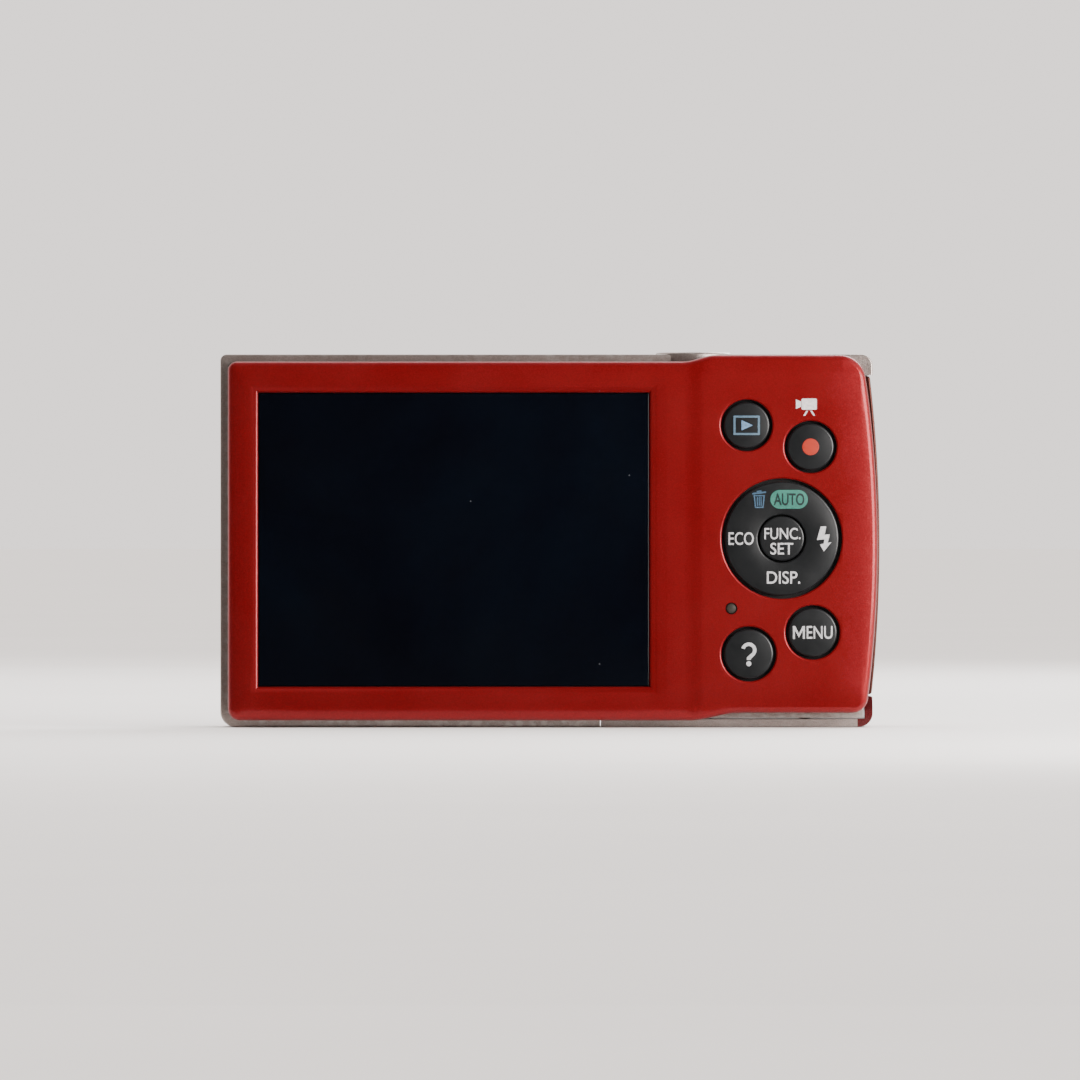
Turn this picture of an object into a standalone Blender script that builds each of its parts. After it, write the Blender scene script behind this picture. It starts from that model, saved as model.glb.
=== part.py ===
"""Compact digital camera, built as separate pieces.

Row frame: +Z up, lens towards -Y, screen towards +Y, grip and controls towards -X.
The origin is at the middle of the base. Lengths below are in millimetres; MM turns them into metres.
"""

import math

import bmesh
import bpy
from mathutils import Matrix, Vector

MM = 0.001

# Whole body
TOP_Z = 53.8
SCREEN_END_X = 47.6
CLEARANCE = 0.3
WALL = 1.0
RIM_RADIUS = 1.0

# Depth stations, front to back
RING_FRONT_Y = -11.25
FRONT_FACE_Y = -9.05
FRONT_RIM_Y = -4.15
BAND_FRONT_Y = -3.85
BAND_REAR_Y = 5.85
BACK_RIM_Y = 6.15
BACK_FACE_Y = 11.05
BAND_WALL = 1.2
BAND_MID_Y = 1.0

# Outline of the front and back covers
COVER_END_X = 46.4
COVER_TOP_Z = 52.7
COVER_BASE_Z = 1.0
GRIP_TOP_Z = 53.65
GRIP_BASE_Z = 2.1
COVER_BOW = (47.2, 26.0, 0.0029)
PANEL_BOW = (47.6, 26.5, 0.0024)
TOP_SWEEP_X = (-19.0, -24.0)
BASE_SWEEP_X = (-20.0, -27.3)

# Grip side
PANEL_LOW_Z = 4.7
PANEL_HIGH_Z = 50.7
SIDE_WALL_X = (-45.2, -44.0)
STRAP_Z = (8.5, 14.5)
STRAP_PIN_X = -44.4
STRAP_PIN_R = 0.5
PORT_Z = (43.2, 49.4)
PORT_Y = (-2.8, 4.8)
PORT_PIVOT = (-46.2, 43.85)
PORT_COVER_R = 0.75
USB_Z = (44.4, 48.2)

# Screen
WINDOW_X = (-14.2, 41.9)
WINDOW_Z = (6.0, 48.1)
WINDOW_Y = (9.45, 10.25)
BEZEL_SLOPE = 1.0

# Back controls: centre x, centre z, cap radius, hole radius
BUTTONS = {
    "playback_button": (-28.3, 43.5, 3.15, 3.7),
    "movie_button": (-37.5, 40.4, 3.2, 3.75),
    "menu_button": (-37.8, 13.7, 3.3, 3.9),
    "help_button": (-28.6, 10.6, 3.35, 3.95),
}
NAV_CENTRE = (-33.35, 27.2)
NAV_R = 8.2
NAV_HOLE_R = 8.65
NAV_BORE_R = 3.45
NAV_BASE_R = 8.95
SET_R = 3.1
LAMP_CENTRE = (-26.1, 17.15)
LAMP_R = 0.75
CAP_TOP_Y = 11.25
FLANGE_Y = (9.3, 9.7)
PAD_Y = (7.9, 8.4)

# Top controls
RELEASE_X = -20.8
LEVER_R = 5.55
LEVER_BORE_R = 4.25
WELL_R = 5.9
WELL_FLOOR_Z = 52.3
WELL_ROOF_Z = 51.0
WELL_BLOCK_X = -12.5
RELEASE_CAP_R = 3.95
LEVER_TOP_Z = 54.1
RELEASE_TOP_Z = 54.3
POWER_X = -8.5
POWER_R = 2.0

# Lens
LENS_X = 11.0
LENS_Z = 26.0
TRIM_R = 19.5
HOUSING_R = 17.2
HOUSING_BORE_R = 14.1
OUTER_R = 13.7
OUTER_BORE_R = 12.3
INNER_R = 11.9
INNER_BORE_R = 10.6
APERTURE_R = 4.7
BLADE_R = 5.35
BLADE_PIVOT_R = 9.2
BLADE_GAP = 0.06

# Front pieces
FLASH_X = (-21.0, -9.0)
FLASH_Z = (43.0, 48.0)
AF_CENTRE = (-4.6, 45.4)
AF_R = 1.6

# Sound pieces
SPEAKER_X = 24.2
SPEAKER_PITCH = 2.2
MICROPHONE_X = 5.0
SOUND_HOLE_R = 0.5

# Battery and card
BATTERY = (34.6, 5.2, 40.2)
BATTERY_X0 = -43.0
BATTERY_Y0 = -3.0
BATTERY_Z0 = 2.6
CARD = (24.0, 2.1, 32.0)
CARD_X0 = -38.0
CARD_Y0 = 3.0
DOOR_X = (-46.6, -7.4)
DOOR_HINGE = (-3.3, 0.55)
DOOR_PIN_R = 0.25
DOOR_WALL_TOP_Z = 4.4
EAR_X = (-13.0, -37.0)
EAR_WIDTH = 1.6

# Tripod socket: a quarter-inch thread, 6.35 across
TRIPOD_X = 2.0
TRIPOD_R = 4.0
TRIPOD_BORE_R = 3.175
TRIPOD_DEPTH = 5.0

# Case screws: x, y, z of the head's centre and the way the head faces
SCREWS = {
    "screw_base": (44.2, 1.0, 0.0, "-Z"),
    "screw_end_low": (SCREEN_END_X, 1.0, 7.5, "+X"),
    "screw_end_high": (SCREEN_END_X, 1.0, 46.0, "+X"),
    "screw_panel_low": (-47.45, 1.0, 19.5, "-X"),
    "screw_panel_high": (-47.2, 1.0, 39.0, "-X"),
}
SCREW_HEAD_R = 1.3
SCREW_SHANK_R = 0.6
SCREW_LENGTH = 3.0

ROUND = 24
SMALL_ROUND = 12

PAINTS = {
    "red_metal": ((0.42, 0.012, 0.02), 0.35, 0.6),
    "silver": ((0.42, 0.39, 0.37), 0.38, 0.8),
    "black": ((0.012, 0.012, 0.014), 0.3, 0.0),
    "glass": ((0.01, 0.012, 0.02), 0.05, 0.0),
    "clear": ((0.75, 0.78, 0.8), 0.1, 0.0),
    "steel": ((0.55, 0.55, 0.56), 0.35, 1.0),
    "brass": ((0.6, 0.42, 0.16), 0.35, 1.0),
    "board": ((0.02, 0.16, 0.08), 0.5, 0.0),
    "rubber": ((0.03, 0.03, 0.032), 0.8, 0.0),
    "grey": ((0.25, 0.25, 0.26), 0.5, 0.0),
    "dark": ((0.05, 0.05, 0.055), 0.55, 0.0),
    "label_blue": ((0.03, 0.08, 0.2), 0.5, 0.0),
}


def clear_scene():
    for thing in list(bpy.data.objects):
        bpy.data.objects.remove(thing, do_unlink=True)


def paint(name):
    """The Principled material of that name, made once."""
    if name in bpy.data.materials:
        return bpy.data.materials[name]
    colour, roughness, metallic = PAINTS[name]
    made = bpy.data.materials.new(name)
    made.use_nodes = True
    shader = made.node_tree.nodes["Principled BSDF"]
    shader.inputs["Base Color"].default_value = (*colour, 1.0)
    shader.inputs["Roughness"].default_value = roughness
    shader.inputs["Metallic"].default_value = metallic
    made.diffuse_color = (*colour, 1.0)
    return made


def finish_mesh(name, mesh_data, origin=(0.0, 0.0, 0.0), material=None, smooth=False):
    """Turn a bmesh in millimetres into a named object whose origin is at the given point."""
    bmesh.ops.remove_doubles(mesh_data, verts=mesh_data.verts, dist=0.001)
    bmesh.ops.recalc_face_normals(mesh_data, faces=mesh_data.faces)
    bmesh.ops.translate(mesh_data, verts=mesh_data.verts, vec=-Vector(origin))
    bmesh.ops.scale(mesh_data, verts=mesh_data.verts, vec=(MM, MM, MM))
    mesh = bpy.data.meshes.new(name)
    mesh_data.to_mesh(mesh)
    mesh_data.free()
    made = bpy.data.objects.new(name, mesh)
    made.location = Vector(origin) * MM
    bpy.context.scene.collection.objects.link(made)
    if material:
        mesh.materials.append(paint(material))
    if smooth:
        mesh.shade_smooth()
        mesh.set_sharp_from_angle(angle=math.radians(35))
    return made


def block(name, x, y, z, material=None, origin=None):
    """A box between two corners, given as a low and a high value along each axis."""
    made = bmesh.new()
    low = Vector((min(x), min(y), min(z)))
    high = Vector((max(x), max(y), max(z)))
    bmesh.ops.create_cube(made, size=1.0)
    bmesh.ops.scale(made, verts=made.verts, vec=high - low)
    bmesh.ops.translate(made, verts=made.verts, vec=(low + high) / 2)
    return finish_mesh(name, made, origin or tuple((low + high) / 2), material)


AXIS_TURN = {
    "Z": Matrix.Identity(3),
    "Y": Matrix.Rotation(-math.pi / 2, 3, "X"),
    "X": Matrix.Rotation(math.pi / 2, 3, "Y"),
}


def turned(name, profile, centre, axis, material=None, segments=ROUND):
    """Turn a closed profile of (radius, height) points about an axis; heights are row coordinates.

    centre holds the two coordinates of the axis, in X, Y, Z order without the axis's own.
    """
    made = bmesh.new()
    points = [made.verts.new((r, 0.0, h)) for r, h in profile]
    ends_on_axis = profile[0][0] == 0.0 and profile[-1][0] == 0.0
    edges = [made.edges.new(pair) for pair in zip(points, points[1:])]
    if not ends_on_axis:
        edges.append(made.edges.new((points[-1], points[0])))
    bmesh.ops.spin(made, geom=points + edges, cent=(0, 0, 0), axis=(0, 0, 1),
                   angle=2 * math.pi, steps=segments, use_merge=True)
    bmesh.ops.rotate(made, verts=made.verts, cent=(0, 0, 0), matrix=AXIS_TURN[axis])
    place = list(centre)
    place.insert("XYZ".index(axis), 0.0)
    bmesh.ops.translate(made, verts=made.verts, vec=place)
    origin = list(place)
    origin["XYZ".index(axis)] = (profile[0][1] + profile[-1][1]) / 2
    return finish_mesh(name, made, origin, material, smooth=True)


def rod(name, radius, low, high, centre, axis, material=None, segments=ROUND):
    profile = [(0.0, low), (radius, low), (radius, high), (0.0, high)]
    return turned(name, profile, centre, axis, material, segments)


def tube(name, outer, inner, low, high, centre, axis, material=None, segments=ROUND):
    profile = [(inner, low), (outer, low), (outer, high), (inner, high)]
    return turned(name, profile, centre, axis, material, segments)


def prism(name, outline, low, high, material=None, rim=None, axis="Y", origin=(0, 0, 0)):
    """Extrude an outline along an axis; rim rounds the edge at the low or the high end."""
    made = bmesh.new()
    if axis == "Y":
        base = [made.verts.new((a, low, b)) for a, b in outline]
        push = (0, high - low, 0)
    else:
        base = [made.verts.new((low, a, b)) for a, b in outline]
        push = (high - low, 0, 0)
    face = made.faces.new(base)
    grown = bmesh.ops.extrude_face_region(made, geom=[face], use_keep_orig=True)["geom"]
    top = [part for part in grown if isinstance(part, bmesh.types.BMVert)]
    bmesh.ops.translate(made, verts=top, vec=push)
    bmesh.ops.recalc_face_normals(made, faces=made.faces)
    if rim:
        level = low if rim == "low" else high
        edges = [e for e in made.edges if all(abs(v.co.y - level) < 0.001 for v in e.verts)]
        bmesh.ops.bevel(made, geom=edges, offset=RIM_RADIUS, offset_type="OFFSET", segments=3,
                        profile=0.5, affect="EDGES", material=-1, clamp_overlap=True)
    return finish_mesh(name, made, origin, material)


def arc(corner, before, after, radius, steps=5):
    """Points of a fillet of that radius on one corner of an outline."""
    corner, before, after = Vector(corner), Vector(before), Vector(after)
    one, two = (before - corner).normalized(), (after - corner).normalized()
    half = one.angle(two) / 2
    centre = corner + (one + two).normalized() * (radius / math.sin(half))
    start = corner + one * (radius / math.tan(half)) - centre
    turn = start.angle_signed(corner + two * (radius / math.tan(half)) - centre)
    return [tuple(centre + Matrix.Rotation(-turn * i / steps, 2) @ start) for i in range(steps + 1)]


def rounded(corners, steps=5):
    """An outline from (a, b, radius) corners; a radius of zero keeps the point."""
    points = []
    for i, (a, b, radius) in enumerate(corners):
        if radius == 0:
            points.append((a, b))
            continue
        before = corners[i - 1][:2]
        after = corners[(i + 1) % len(corners)][:2]
        points += arc((a, b), before, after, radius, steps)
    return points


def inset(outline, distance):
    """Move a closed outline inwards by a distance."""
    area = sum(a[0] * b[1] - b[0] * a[1] for a, b in zip(outline, outline[1:] + outline[:1]))
    side = 1 if area > 0 else -1
    moved = []
    for i, point in enumerate(outline):
        here = Vector(point)
        one = (here - Vector(outline[i - 1])).normalized()
        two = (Vector(outline[(i + 1) % len(outline)]) - here).normalized()
        normal = Vector((-(one + two).y, (one + two).x)).normalized() * side
        stretch = max(0.5, math.cos(one.angle(two) / 2))
        moved.append(tuple(here + normal * (distance / stretch)))
    return moved


def bow(z, shape):
    """X of a bowed grip-side surface at height z."""
    reach, middle, curve = shape
    return -(reach - curve * (z - middle) ** 2)


def sweep(x_from, x_to, z_from, z_to, steps=5):
    """A smooth step in height between two stations along the body."""
    points = []
    for i in range(steps + 1):
        t = i / steps
        ease = (1 - math.cos(math.pi * t)) / 2
        points.append((x_from + (x_to - x_from) * t, z_from + (z_to - z_from) * ease, 0))
    return points


def cover_outline():
    """The outline shared by the front and back covers."""
    low_corner, high_corner = 2.3, 3.75
    corners = [(COVER_END_X, COVER_TOP_Z, 1.3), (COVER_END_X, COVER_BASE_Z, 1.7)]
    corners += sweep(*BASE_SWEEP_X, COVER_BASE_Z, GRIP_BASE_Z)
    corners.append((bow(GRIP_BASE_Z, COVER_BOW), GRIP_BASE_Z, low_corner))
    low_z, high_z = GRIP_BASE_Z + 4.0, GRIP_TOP_Z - 5.5
    for i in range(8):
        z = low_z + (high_z - low_z) * i / 7
        corners.append((bow(z, COVER_BOW), z, 0))
    corners.append((bow(GRIP_TOP_Z, COVER_BOW), GRIP_TOP_Z, high_corner))
    corners += reversed(sweep(*TOP_SWEEP_X, COVER_TOP_Z, GRIP_TOP_Z))
    return rounded(corners)


def cut(target, *cutters):
    """Take cutters away from an object, one Boolean each."""
    for cutter in cutters:
        cutter.hide_render = True
        cutter.display_type = "WIRE"
        step = target.modifiers.new(cutter.name, "BOOLEAN")
        step.operation = "DIFFERENCE"
        step.solver = "EXACT"
        step.object = cutter


def join(target, *others):
    """Add other objects to an object, one Boolean each."""
    for other in others:
        other.hide_render = True
        other.display_type = "WIRE"
        step = target.modifiers.new(other.name, "BOOLEAN")
        step.operation = "UNION"
        step.solver = "EXACT"
        step.object = other


def shell(name, outline, low, high, material, rim, open_end):
    """A cover: a rounded prism with its inside and its open end taken away."""
    made = prism(name, outline, low, high, material, rim)
    if open_end == "low":
        hollow = prism(f"cut_{name}", inset(outline, WALL), low - 1, high - WALL)
    else:
        hollow = prism(f"cut_{name}", inset(outline, WALL), low + WALL, high + 1)
    cut(made, hollow)
    return made


# ------------------------------------------------------------------ case


def back_cover():
    cover = shell("back_cover", cover_outline(), BACK_RIM_Y, BACK_FACE_Y, "red_metal", "high", "low")
    margin = CLEARANCE
    sill = bmesh.new()
    x0, x1 = WINDOW_X[0] - margin, WINDOW_X[1] + margin
    z0, z1 = WINDOW_Z[0] - margin, WINDOW_Z[1] + margin
    bmesh.ops.create_cube(sill, size=1.0)
    bmesh.ops.scale(sill, verts=sill.verts, vec=(x1 - x0, 4.0, z1 - z0))
    bmesh.ops.translate(sill, verts=sill.verts, vec=((x0 + x1) / 2, BACK_FACE_Y - 2.7, (z0 + z1) / 2))
    face = max(sill.faces, key=lambda f: f.calc_center_median().y)
    wide = bmesh.ops.extrude_face_region(sill, geom=[face])["geom"]
    top = [part for part in wide if isinstance(part, bmesh.types.BMVert)]
    bmesh.ops.translate(sill, verts=top, vec=(0, 1.2, 0))
    bmesh.ops.delete(sill, geom=[face], context="FACES_ONLY")
    for vert in top:
        vert.co.x += math.copysign(BEZEL_SLOPE, vert.co.x - (x0 + x1) / 2)
        vert.co.z += math.copysign(BEZEL_SLOPE, vert.co.z - (z0 + z1) / 2)
    cut(cover, finish_mesh("cut_window", sill))
    for name, (x, z, _, hole) in BUTTONS.items():
        cut(cover, rod(f"cut_{name}", hole, 9.0, 12.0, (x, z), "Y"))
    cut(cover, rod("cut_nav", NAV_HOLE_R, 9.0, 12.0, NAV_CENTRE, "Y"))
    cut(cover, rod("cut_lamp", LAMP_R + CLEARANCE, 9.0, 12.0, LAMP_CENTRE, "Y", None, SMALL_ROUND))
    cut(cover, rod("cut_well_back", WELL_R + 0.4, 50.0, 60.0, (RELEASE_X, BAND_MID_Y), "Z"))


def front_cover():
    cover = shell("front_cover", cover_outline(), FRONT_FACE_Y, FRONT_RIM_Y, "red_metal", "low", "high")
    cut(
        cover,
        rod("cut_lens", 16.0, -12.0, -7.0, (LENS_X, LENS_Z), "Y", None, 32),
        block("cut_flash", (FLASH_X[0] - 0.3, FLASH_X[1] + 0.3), (-12, -7), (FLASH_Z[0] - 0.3, FLASH_Z[1] + 0.3)),
        rod("cut_af", AF_R + CLEARANCE, -12.0, -7.0, AF_CENTRE, "Y", None, SMALL_ROUND),
        rod("cut_well_front", WELL_R + 0.4, 50.0, 60.0, (RELEASE_X, BAND_MID_Y), "Z"),
    )


def mid_frame():
    """The silver band round the edge, with the side wall that carries the grip-side panel."""
    outline = rounded([
        (SCREEN_END_X, TOP_Z, 0.9),
        (SCREEN_END_X, 0.0, 2.2),
        (-46.6, 0.0, 2.0),
        (-46.6, TOP_Z, 1.6),
    ])
    frame = prism("mid_frame", outline, BAND_FRONT_Y, BAND_REAR_Y, "silver")
    reach = (BAND_FRONT_Y - 1, BAND_REAR_Y + 1)
    ceiling = TOP_Z - BAND_WALL
    inner = rounded([
        (SCREEN_END_X - BAND_WALL, ceiling, 0.6),
        (SCREEN_END_X - BAND_WALL, BAND_WALL, 1.0),
        (SIDE_WALL_X[1], BAND_WALL, 0.6),
        (SIDE_WALL_X[1], WELL_ROOF_Z, 0.6),
        (WELL_BLOCK_X, WELL_ROOF_Z, 0),
        (WELL_BLOCK_X, ceiling, 0),
    ], 3)
    cut(frame, prism("cut_band", inner, *reach))
    panel_z = (PANEL_LOW_Z - CLEARANCE, PANEL_HIGH_Z + CLEARANCE)
    cut(
        frame,
        block("cut_panel_seat", (-50, SIDE_WALL_X[0]), reach, panel_z),
        block("cut_door_way", (-50, DOOR_X[1] + 0.3), reach, (-1, DOOR_WALL_TOP_Z + 0.3)),
    )
    well = [(0.0, 60.0), (WELL_R, 60.0), (WELL_R, WELL_FLOOR_Z), (2.4, WELL_FLOOR_Z), (2.4, 50.0), (0.0, 50.0)]
    cut(frame, turned("cut_release_well", well, (RELEASE_X, BAND_MID_Y), "Z"))
    cut(frame, rod("cut_power", POWER_R + 0.35, 50.0, 60.0, (POWER_X, BAND_MID_Y), "Z", None, 16))
    cut(frame, rod("cut_tripod", TRIPOD_R + 0.25, -1.0, 3.0, (TRIPOD_X, BAND_MID_Y), "Z"))
    for i in (-1, 0, 1):
        place = (SPEAKER_X + SPEAKER_PITCH * i, BAND_MID_Y)
        cut(frame, rod(f"cut_speaker_{i + 1}", SOUND_HOLE_R, 50.0, 60.0, place, "Z", None, 8))
    cut(frame, rod("cut_microphone", SOUND_HOLE_R, 50.0, 60.0, (MICROPHONE_X, BAND_MID_Y), "Z", None, 8))
    cut(
        frame,
        block("cut_usb_way", (-50, -40), (PORT_Y[0] - 0.1, PORT_Y[1] + 0.1), (USB_Z[0] - 0.3, USB_Z[1] + 0.3)),
        block("cut_strap_way", (-50, -43), (-1.4, 3.4), STRAP_Z),
        block("cut_strap_groove", (-50, -43.7), (0.2, 1.8), (STRAP_Z[0] - 1.6, STRAP_Z[1] + 1.6)),
    )
    for name, place in SCREWS.items():
        cut(frame, screw_hole(f"frame_{name}", place))


def side_panel():
    """The bowed grip-side panel, with the port cover's opening and the strap's recess."""
    steps = 12
    outer = []
    for i in range(steps + 1):
        z = PANEL_LOW_Z + (PANEL_HIGH_Z - PANEL_LOW_Z) * i / steps
        outer.append((bow(z, PANEL_BOW), z))
    inner_x = SIDE_WALL_X[0] - CLEARANCE
    outline = outer + [(inner_x, PANEL_HIGH_Z), (inner_x, PANEL_LOW_Z)]
    panel = prism("side_panel", outline, BAND_FRONT_Y, BAND_REAR_Y, "silver")
    port_y = (PORT_Y[0] - 0.3, PORT_Y[1] + 0.3)
    cut(
        panel,
        block("cut_port_way", (-50, -44), port_y, (PORT_Z[0] - 0.45, PORT_Z[1] + 0.3)),
        block("cut_strap_slot", (-50, -44), (-1.4, 3.4), STRAP_Z),
    )
    for name in ("screw_panel_low", "screw_panel_high"):
        cut(panel, screw_hole(f"panel_{name}", SCREWS[name]))


def terminal_cover():
    """The flap over the data port: a bowed slab with a round lower end about its hinge."""
    pivot_x, pivot_z = PORT_PIVOT
    outline = []
    for i in range(7):
        angle = math.pi + math.pi * i / 6
        outline.append((pivot_x + PORT_COVER_R * math.cos(angle), pivot_z + PORT_COVER_R * math.sin(angle)))
    outline.append((pivot_x + 0.7, PORT_Z[1]))
    for i in range(4):
        z = PORT_Z[1] - (PORT_Z[1] - pivot_z - 1.0) * i / 3
        outline.append((bow(z, PANEL_BOW), z))
    prism("terminal_cover", outline, *PORT_Y, "rubber", None, "Y", (pivot_x, BAND_MID_Y, pivot_z))


def strap_pin():
    low, high = STRAP_Z[0] - 1.3, STRAP_Z[1] + 1.3
    rod("strap_pin", STRAP_PIN_R, low, high, (STRAP_PIN_X, BAND_MID_Y), "Z", "steel", SMALL_ROUND)


def usb_socket():
    socket = block("usb_socket", (-44.9, -37.0), (-2.6, 4.6), USB_Z, "steel")
    cut(socket, block("cut_usb", (-46, -38.0), (-2.2, 4.2), (USB_Z[0] + 0.4, USB_Z[1] - 0.4)))


# ------------------------------------------------------------------ screws


def screw_axis(way):
    return way[1], 1 if way[0] == "+" else -1


def screw_hole(name, place):
    """A hole for a sunk screw head and its shank."""
    x, y, z, way = place
    axis, side = screw_axis(way)
    along = {"X": x, "Z": z}[axis]
    centre = (y, z) if axis == "X" else (x, y)
    profile = [
        (0.0, along + side * 1.0),
        (SCREW_HEAD_R + 0.2, along + side * 1.0),
        (SCREW_HEAD_R + 0.2, along - side * 0.75),
        (SCREW_SHANK_R + 0.3, along - side * 0.75),
        (SCREW_SHANK_R + 0.3, along - side * 5.0),
        (0.0, along - side * 5.0),
    ]
    return turned(f"cut_{name}", profile, centre, axis, None, SMALL_ROUND)


def case_screw(name, place):
    x, y, z, way = place
    axis, side = screw_axis(way)
    along = {"X": x, "Z": z}[axis] - side * 0.1
    centre = (y, z) if axis == "X" else (x, y)
    profile = [
        (0.0, along),
        (SCREW_HEAD_R - 0.2, along),
        (SCREW_HEAD_R, along - side * 0.2),
        (SCREW_HEAD_R, along - side * 0.45),
        (SCREW_SHANK_R, along - side * 0.45),
        (SCREW_SHANK_R, along - side * SCREW_LENGTH),
        (0.0, along - side * SCREW_LENGTH),
    ]
    turned(name, profile, centre, axis, "steel", SMALL_ROUND)


# ------------------------------------------------------------------ screen and boards


def screen_stack():
    block("screen_window", WINDOW_X, WINDOW_Y, WINDOW_Z, "glass")
    panel_x, panel_z = (-15.4, 43.1), (4.8, 49.3)
    block("lcd_panel", panel_x, (8.1, 9.15), panel_z, "dark")
    block("lcd_backlight", panel_x, (6.8, 7.8), panel_z, "clear")
    block("chassis_plate", (-15.4, 45.0), (6.0, 6.4), (3.4, 50.4), "steel")
    block("main_board", (29.6, 45.2), (4.5, 5.4), (4.0, 50.0), "board")
    block("control_board", (-43.6, -17.4), (7.0, 7.6), (5.2, 49.6), "board")
    block("key_pad", (-43.6, -17.4), PAD_Y, (5.2, 49.6), "rubber")


def key_profile(radius):
    """A domed key cap on its flange, from the pad side outwards."""
    crown = 0.28
    return [
        (0.0, FLANGE_Y[0]),
        (radius + 0.85, FLANGE_Y[0]),
        (radius + 0.85, FLANGE_Y[1]),
        (radius, FLANGE_Y[1]),
        (radius, CAP_TOP_Y - crown - 0.15),
        (radius - 0.25, CAP_TOP_Y - crown),
        (radius * 0.55, CAP_TOP_Y - crown * 0.3),
        (0.0, CAP_TOP_Y),
    ]


def back_buttons():
    for name, (x, z, radius, _) in BUTTONS.items():
        turned(name, key_profile(radius), (x, z), "Y", "black")


def nav_control():
    base = [(NAV_BORE_R + 0.2, 9.0), (NAV_BASE_R, 9.0), (NAV_BASE_R, 9.4), (NAV_BORE_R + 0.2, 9.4)]
    turned("nav_ring_base", base, NAV_CENTRE, "Y", "dark")
    ring = [
        (NAV_BORE_R, 9.75),
        (NAV_R, 9.75),
        (NAV_R, 10.8),
        (NAV_R - 0.35, 11.05),
        (NAV_BORE_R + 1.6, CAP_TOP_Y),
        (NAV_BORE_R + 0.3, 11.15),
        (NAV_BORE_R, 11.0),
    ]
    turned("nav_ring", ring, NAV_CENTRE, "Y", "black", 32)
    cap = [(0.0, 8.9), (SET_R, 8.9), (SET_R, 11.0), (SET_R - 0.3, 11.15), (0.0, CAP_TOP_Y)]
    turned("set_button", cap, NAV_CENTRE, "Y", "black")


def indicator_lamp():
    profile = [(0.0, 8.8), (LAMP_R + 0.6, 8.8), (LAMP_R + 0.6, 9.6), (LAMP_R, 9.6), (LAMP_R, 11.0), (0.0, 11.05)]
    turned("indicator_lamp", profile, LAMP_CENTRE, "Y", "grey", SMALL_ROUND)


# ------------------------------------------------------------------ top controls


def release_base():
    """The cup under the top wall that holds the release spring and its switch."""
    profile = [(1.2, 48.0), (4.4, 48.0), (4.4, 50.7), (2.4, 50.7), (2.4, 48.9), (1.2, 48.9)]
    turned("release_base", profile, (RELEASE_X, BAND_MID_Y), "Z", "dark")


def shutter_button():
    profile = [
        (0.0, 47.2), (0.8, 47.2), (0.8, 53.2), (RELEASE_CAP_R, 53.2),
        (RELEASE_CAP_R, 54.0), (RELEASE_CAP_R - 0.3, 54.15), (RELEASE_CAP_R * 0.5, 54.27), (0.0, RELEASE_TOP_Z),
    ]
    turned("shutter_button", profile, (RELEASE_X, BAND_MID_Y), "Z", "silver")


def shutter_spring():
    """A compression spring round the release stem, as one closed swept coil."""
    turns, wire, radius = 3.5, 0.2, 1.75
    low, high = 49.2, 52.85
    per_turn, sides = 10, 5
    steps = int(turns * per_turn)
    made = bmesh.new()
    rings = []
    for i in range(steps + 1):
        angle = 2 * math.pi * i / per_turn
        rise = low + (high - low) * i / steps
        out = Vector((math.cos(angle), math.sin(angle), 0))
        middle = Vector((RELEASE_X, BAND_MID_Y, rise)) + out * radius
        ring = []
        for k in range(sides):
            around = 2 * math.pi * k / sides
            offset = out * (wire * math.cos(around)) + Vector((0, 0, wire * math.sin(around)))
            ring.append(made.verts.new(middle + offset))
        rings.append(ring)
    for one, two in zip(rings, rings[1:]):
        for k in range(sides):
            made.faces.new((one[k], one[(k + 1) % sides], two[(k + 1) % sides], two[k]))
    made.faces.new(rings[0])
    made.faces.new(rings[-1])
    finish_mesh("shutter_spring", made, (RELEASE_X, BAND_MID_Y, low), "steel")


def zoom_lever():
    """The lever ring round the release button, with a raised finger ridge at its front."""
    low = 52.6
    profile = [
        (LEVER_BORE_R, low), (LEVER_R, low), (LEVER_R, LEVER_TOP_Z - 0.3),
        (LEVER_R - 0.3, LEVER_TOP_Z), (LEVER_BORE_R, LEVER_TOP_Z),
    ]
    lever = turned("zoom_lever", profile, (RELEASE_X, BAND_MID_Y), "Z", "silver")
    front = BAND_MID_Y - LEVER_R
    ridge_y = (front + 0.25, front + 1.05)
    join(lever, block("cut_ridge", (RELEASE_X - 1.3, RELEASE_X + 1.3), ridge_y, (53.6, RELEASE_TOP_Z)))


def power_button():
    profile = [(0.0, 51.6), (2.7, 51.6), (2.7, 52.2), (POWER_R, 52.2), (POWER_R, 53.75), (0.0, 53.85)]
    turned("power_button", profile, (POWER_X, BAND_MID_Y), "Z", "silver", 16)


# ------------------------------------------------------------------ lens


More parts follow.
